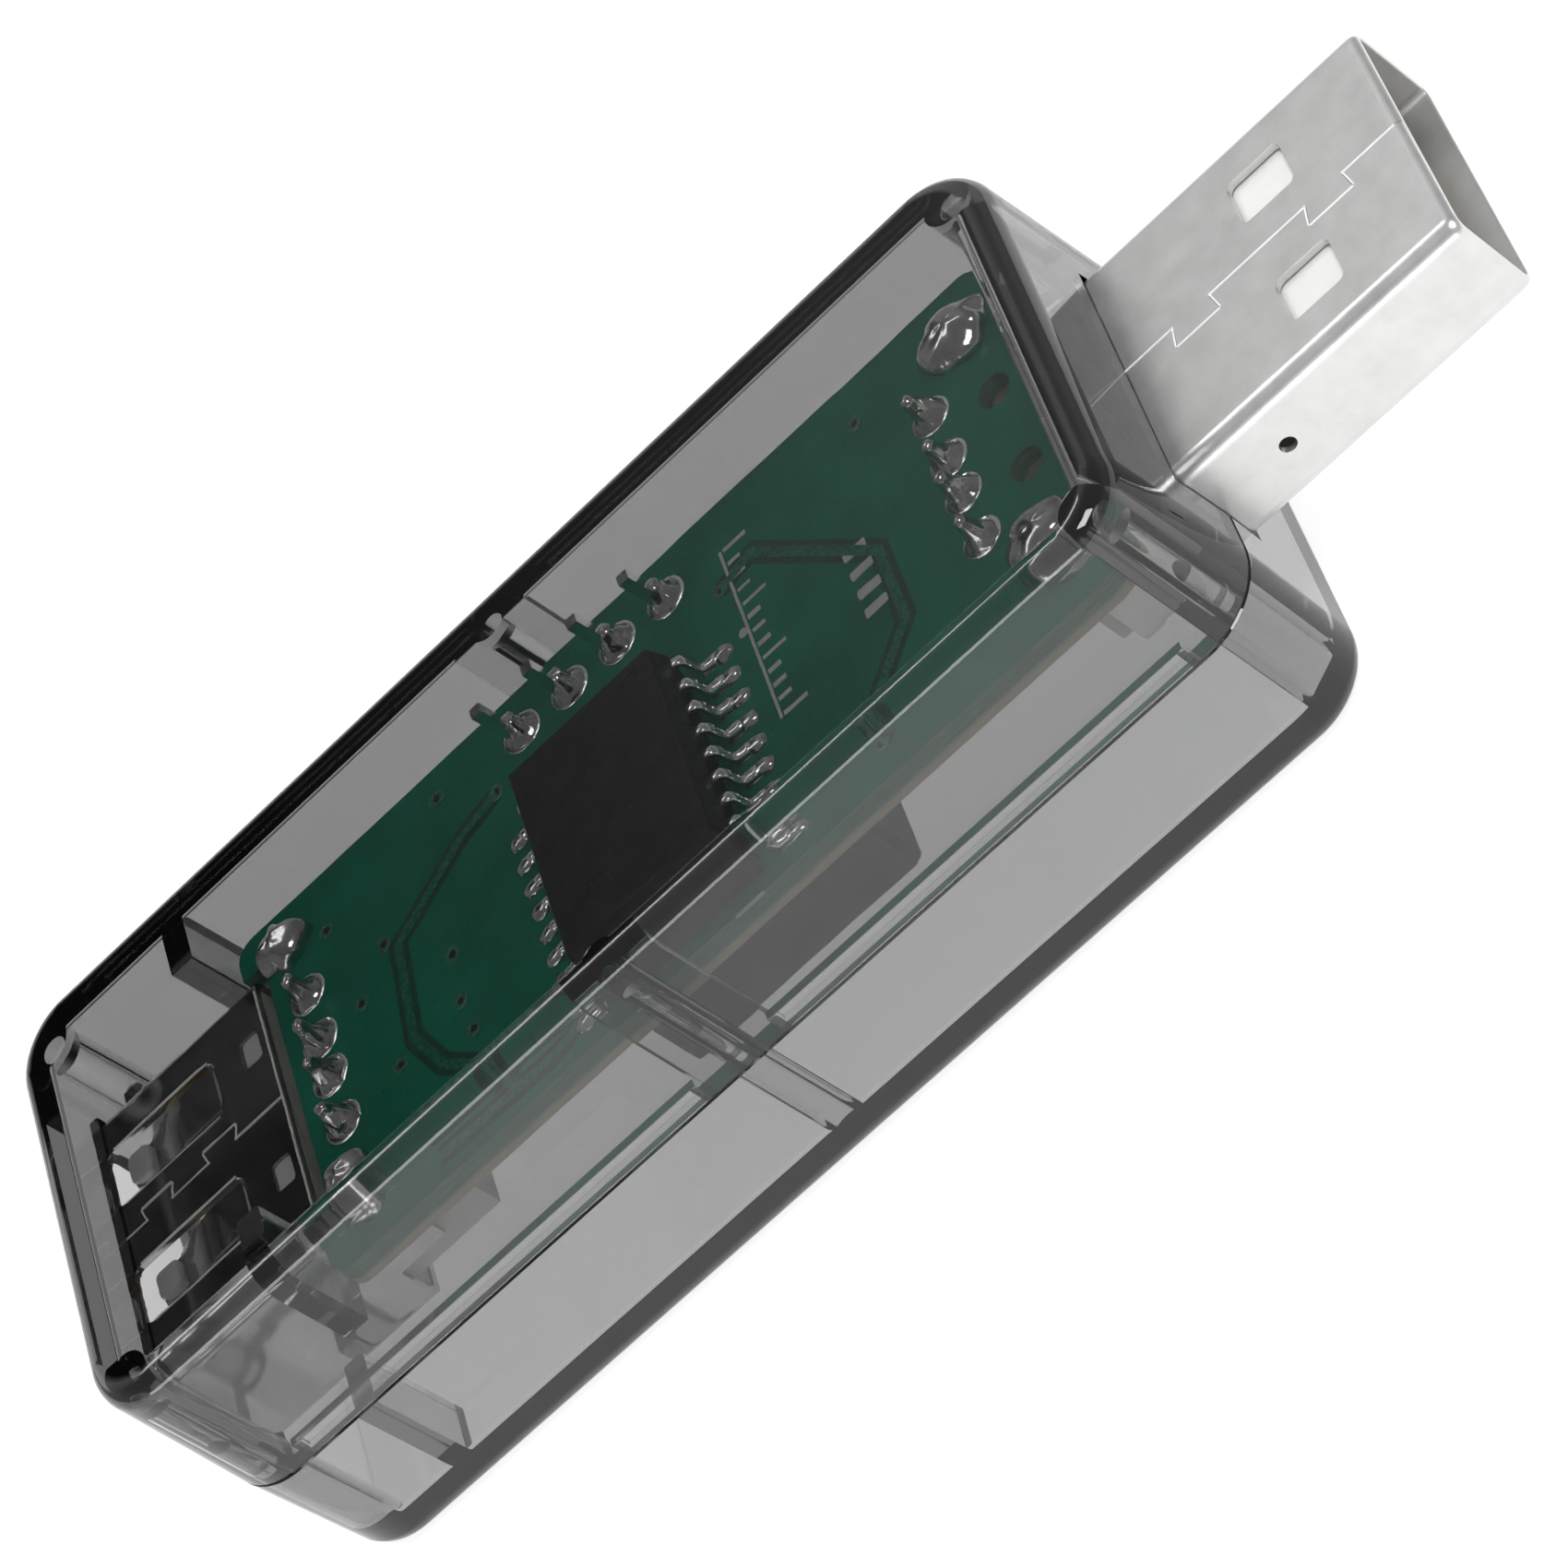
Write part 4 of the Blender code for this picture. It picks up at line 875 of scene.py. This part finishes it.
# plain legend marks: outline corners, a dot at the first lead, measuring ticks
bm = bmesh.new()
for sx in (1, -1):
    for sy in (1, -1):
        x, y = CX + sx * 3.2, CY + sy * 5.62
        path_strip(bm, [(x, y), (x - sx * 1.4, y)], 0.15, Z_TOP - 0.02, Z_TOP + 0.02)
disc(bm, CX + 6.35, CY + 4.6, 0.22, Z_TOP - 0.02, Z_TOP + 0.02)
for k in range(13):
    y = -3.3 + k * 0.78
    ln = 1.15 if k % 4 == 0 else 0.62
    path_strip(bm, [(9.35, y), (9.35 + ln, y)], 0.21, Z_TOP - 0.02, Z_TOP + 0.02)
path_strip(bm, [(9.2, -3.4), (9.2, 6.15)], 0.13, Z_TOP - 0.02, Z_TOP + 0.02)
for k in range(4):
    slab(bm, 14.3, -2.3 + k * 1.05, 0.55, 0.22, 0.08, Z_TOP - 0.02, Z_TOP + 0.02)
make("legend_marks", bm, M_INK, "base", smooth=20, weighted=False)

# ------------------------------------------------------------------ CAD nodes that stay
KEEP = {
    "board": M_BOARD,
    "plug_insulator": M_WHITE,
    "socket_insulator": M_WHITE,
    "converter_module": M_MOD,
    "tank_capacitor": M_CAP,
    "input_capacitor": M_CAP,
    "output_capacitor": M_CAP,
}
for k in range(1, 5):
    KEEP["plug_contact_%d" % k] = M_GOLD
    KEEP["socket_contact_%d" % k] = M_GOLD
    KEEP["module_pin_%d" % k] = M_TIN
    KEEP["line_resistor_%d" % k] = M_RES
for node, mat in KEEP.items():
    ob = N[node]
    for s in ob.material_slots:
        s.material = mat

# ------------------------------------------------------------------ stage and light
bm = bmesh.new()
s = 1.6
vs = [bm.verts.new(p) for p in ((-s, -s, -0.0002), (s, -s, -0.0002), (s, s, -0.0002), (-s, s, -0.0002))]
bm.faces.new(vs)
me = bpy.data.meshes.new("floor")
bm.to_mesh(me)
bm.free()
floor = bpy.data.objects.new("floor", me)
scene.collection.objects.link(floor)
m, nt, p, out = new_mat("pale_floor")
p.inputs["Base Color"].default_value = (0.50, 0.50, 0.50, 1.0)
p.inputs["Emission Color"].default_value = (1.0, 1.0, 1.0, 1.0)
p.inputs["Emission Strength"].default_value = 0.84
p.inputs["Roughness"].default_value = 0.9
p.inputs["Specular IOR Level"].default_value = 0.0
me.materials.append(m)

world = bpy.data.worlds.new("studio")
scene.world = world
world.use_nodes = True
wt = world.node_tree
bg = wt.nodes["Background"]
tc = wt.nodes.new("ShaderNodeTexCoord")
sp = wt.nodes.new("ShaderNodeSeparateXYZ")
wt.links.new(tc.outputs["Generated"], sp.inputs[0])
rp = wt.nodes.new("ShaderNodeValToRGB")
els = rp.color_ramp.elements
els[0].position, els[0].color = 0.0, (0.50, 0.50, 0.50, 1)
els[1].position, els[1].color = 1.0, (0.42, 0.42, 0.42, 1)
e = els.new(0.30); e.color = (0.58, 0.58, 0.58, 1)
e = els.new(0.60); e.color = (0.42, 0.42, 0.42, 1)
wt.links.new(sp.outputs["Z"], rp.inputs["Fac"])


def patch(direction, cos_in, cos_out):
    """1 inside a soft round patch of the surroundings, 0 outside it."""
    d = Vector(direction).normalized()
    dot = wt.nodes.new("ShaderNodeVectorMath")
    dot.operation = "DOT_PRODUCT"
    dot.inputs[1].default_value = tuple(d)
    wt.links.new(tc.outputs["Generated"], dot.inputs[0])
    r = wt.nodes.new("ShaderNodeMapRange")
    for k, q in zip(("From Min", "From Max", "To Min", "To Max"), (cos_out, cos_in, 0.0, 1.0)):
        r.inputs[k].default_value = q
    wt.links.new(dot.outputs["Value"], r.inputs["Value"])
    return r.outputs["Result"]


dark = wt.nodes.new("ShaderNodeMix")
dark.data_type = "RGBA"
halo = wt.nodes.new("ShaderNodeMix")
halo.data_type = "RGBA"
wt.links.new(patch((-0.40, 0.72, 0.56), 0.92, 0.70), halo.inputs[0])
wt.links.new(rp.outputs["Color"], halo.inputs[6])
halo.inputs[7].default_value = (0.82, 0.82, 0.82, 1.0)
wt.links.new(patch((-0.47, 0.70, 0.54), 0.996, 0.925), dark.inputs[0])
wt.links.new(halo.outputs[2], dark.inputs[6])
dark.inputs[7].default_value = (0.025, 0.025, 0.025, 1.0)
wt.links.new(dark.outputs[2], bg.inputs["Color"])
bg.inputs["Strength"].default_value = 1.0


def area(name, loc, target, size, power, size_y=None):
    ld = bpy.data.lights.new(name, "AREA")
    ld.energy = power
    ld.size = size
    if size_y:
        ld.shape = "RECTANGLE"
        ld.size_y = size_y
    ob = bpy.data.objects.new(name, ld)
    scene.collection.objects.link(ob)
    ob.location = loc
    ob.rotation_mode = "QUATERNION"
    ob.rotation_quaternion = (Vector(target) - Vector(loc)).to_track_quat("-Z", "Y")
    return ob


area("rear_strip", (-0.21, 0.29, 0.60), (0, 0, 0), 0.42, 0.75, 0.10)
area("front_strip", (-0.16, -0.46, 0.045), (0, 0, 0.006), 0.46, 0.55, 0.07)
area("key_softbox", (0.30, -0.24, 0.62), (0, 0, 0), 0.26, 2.6)
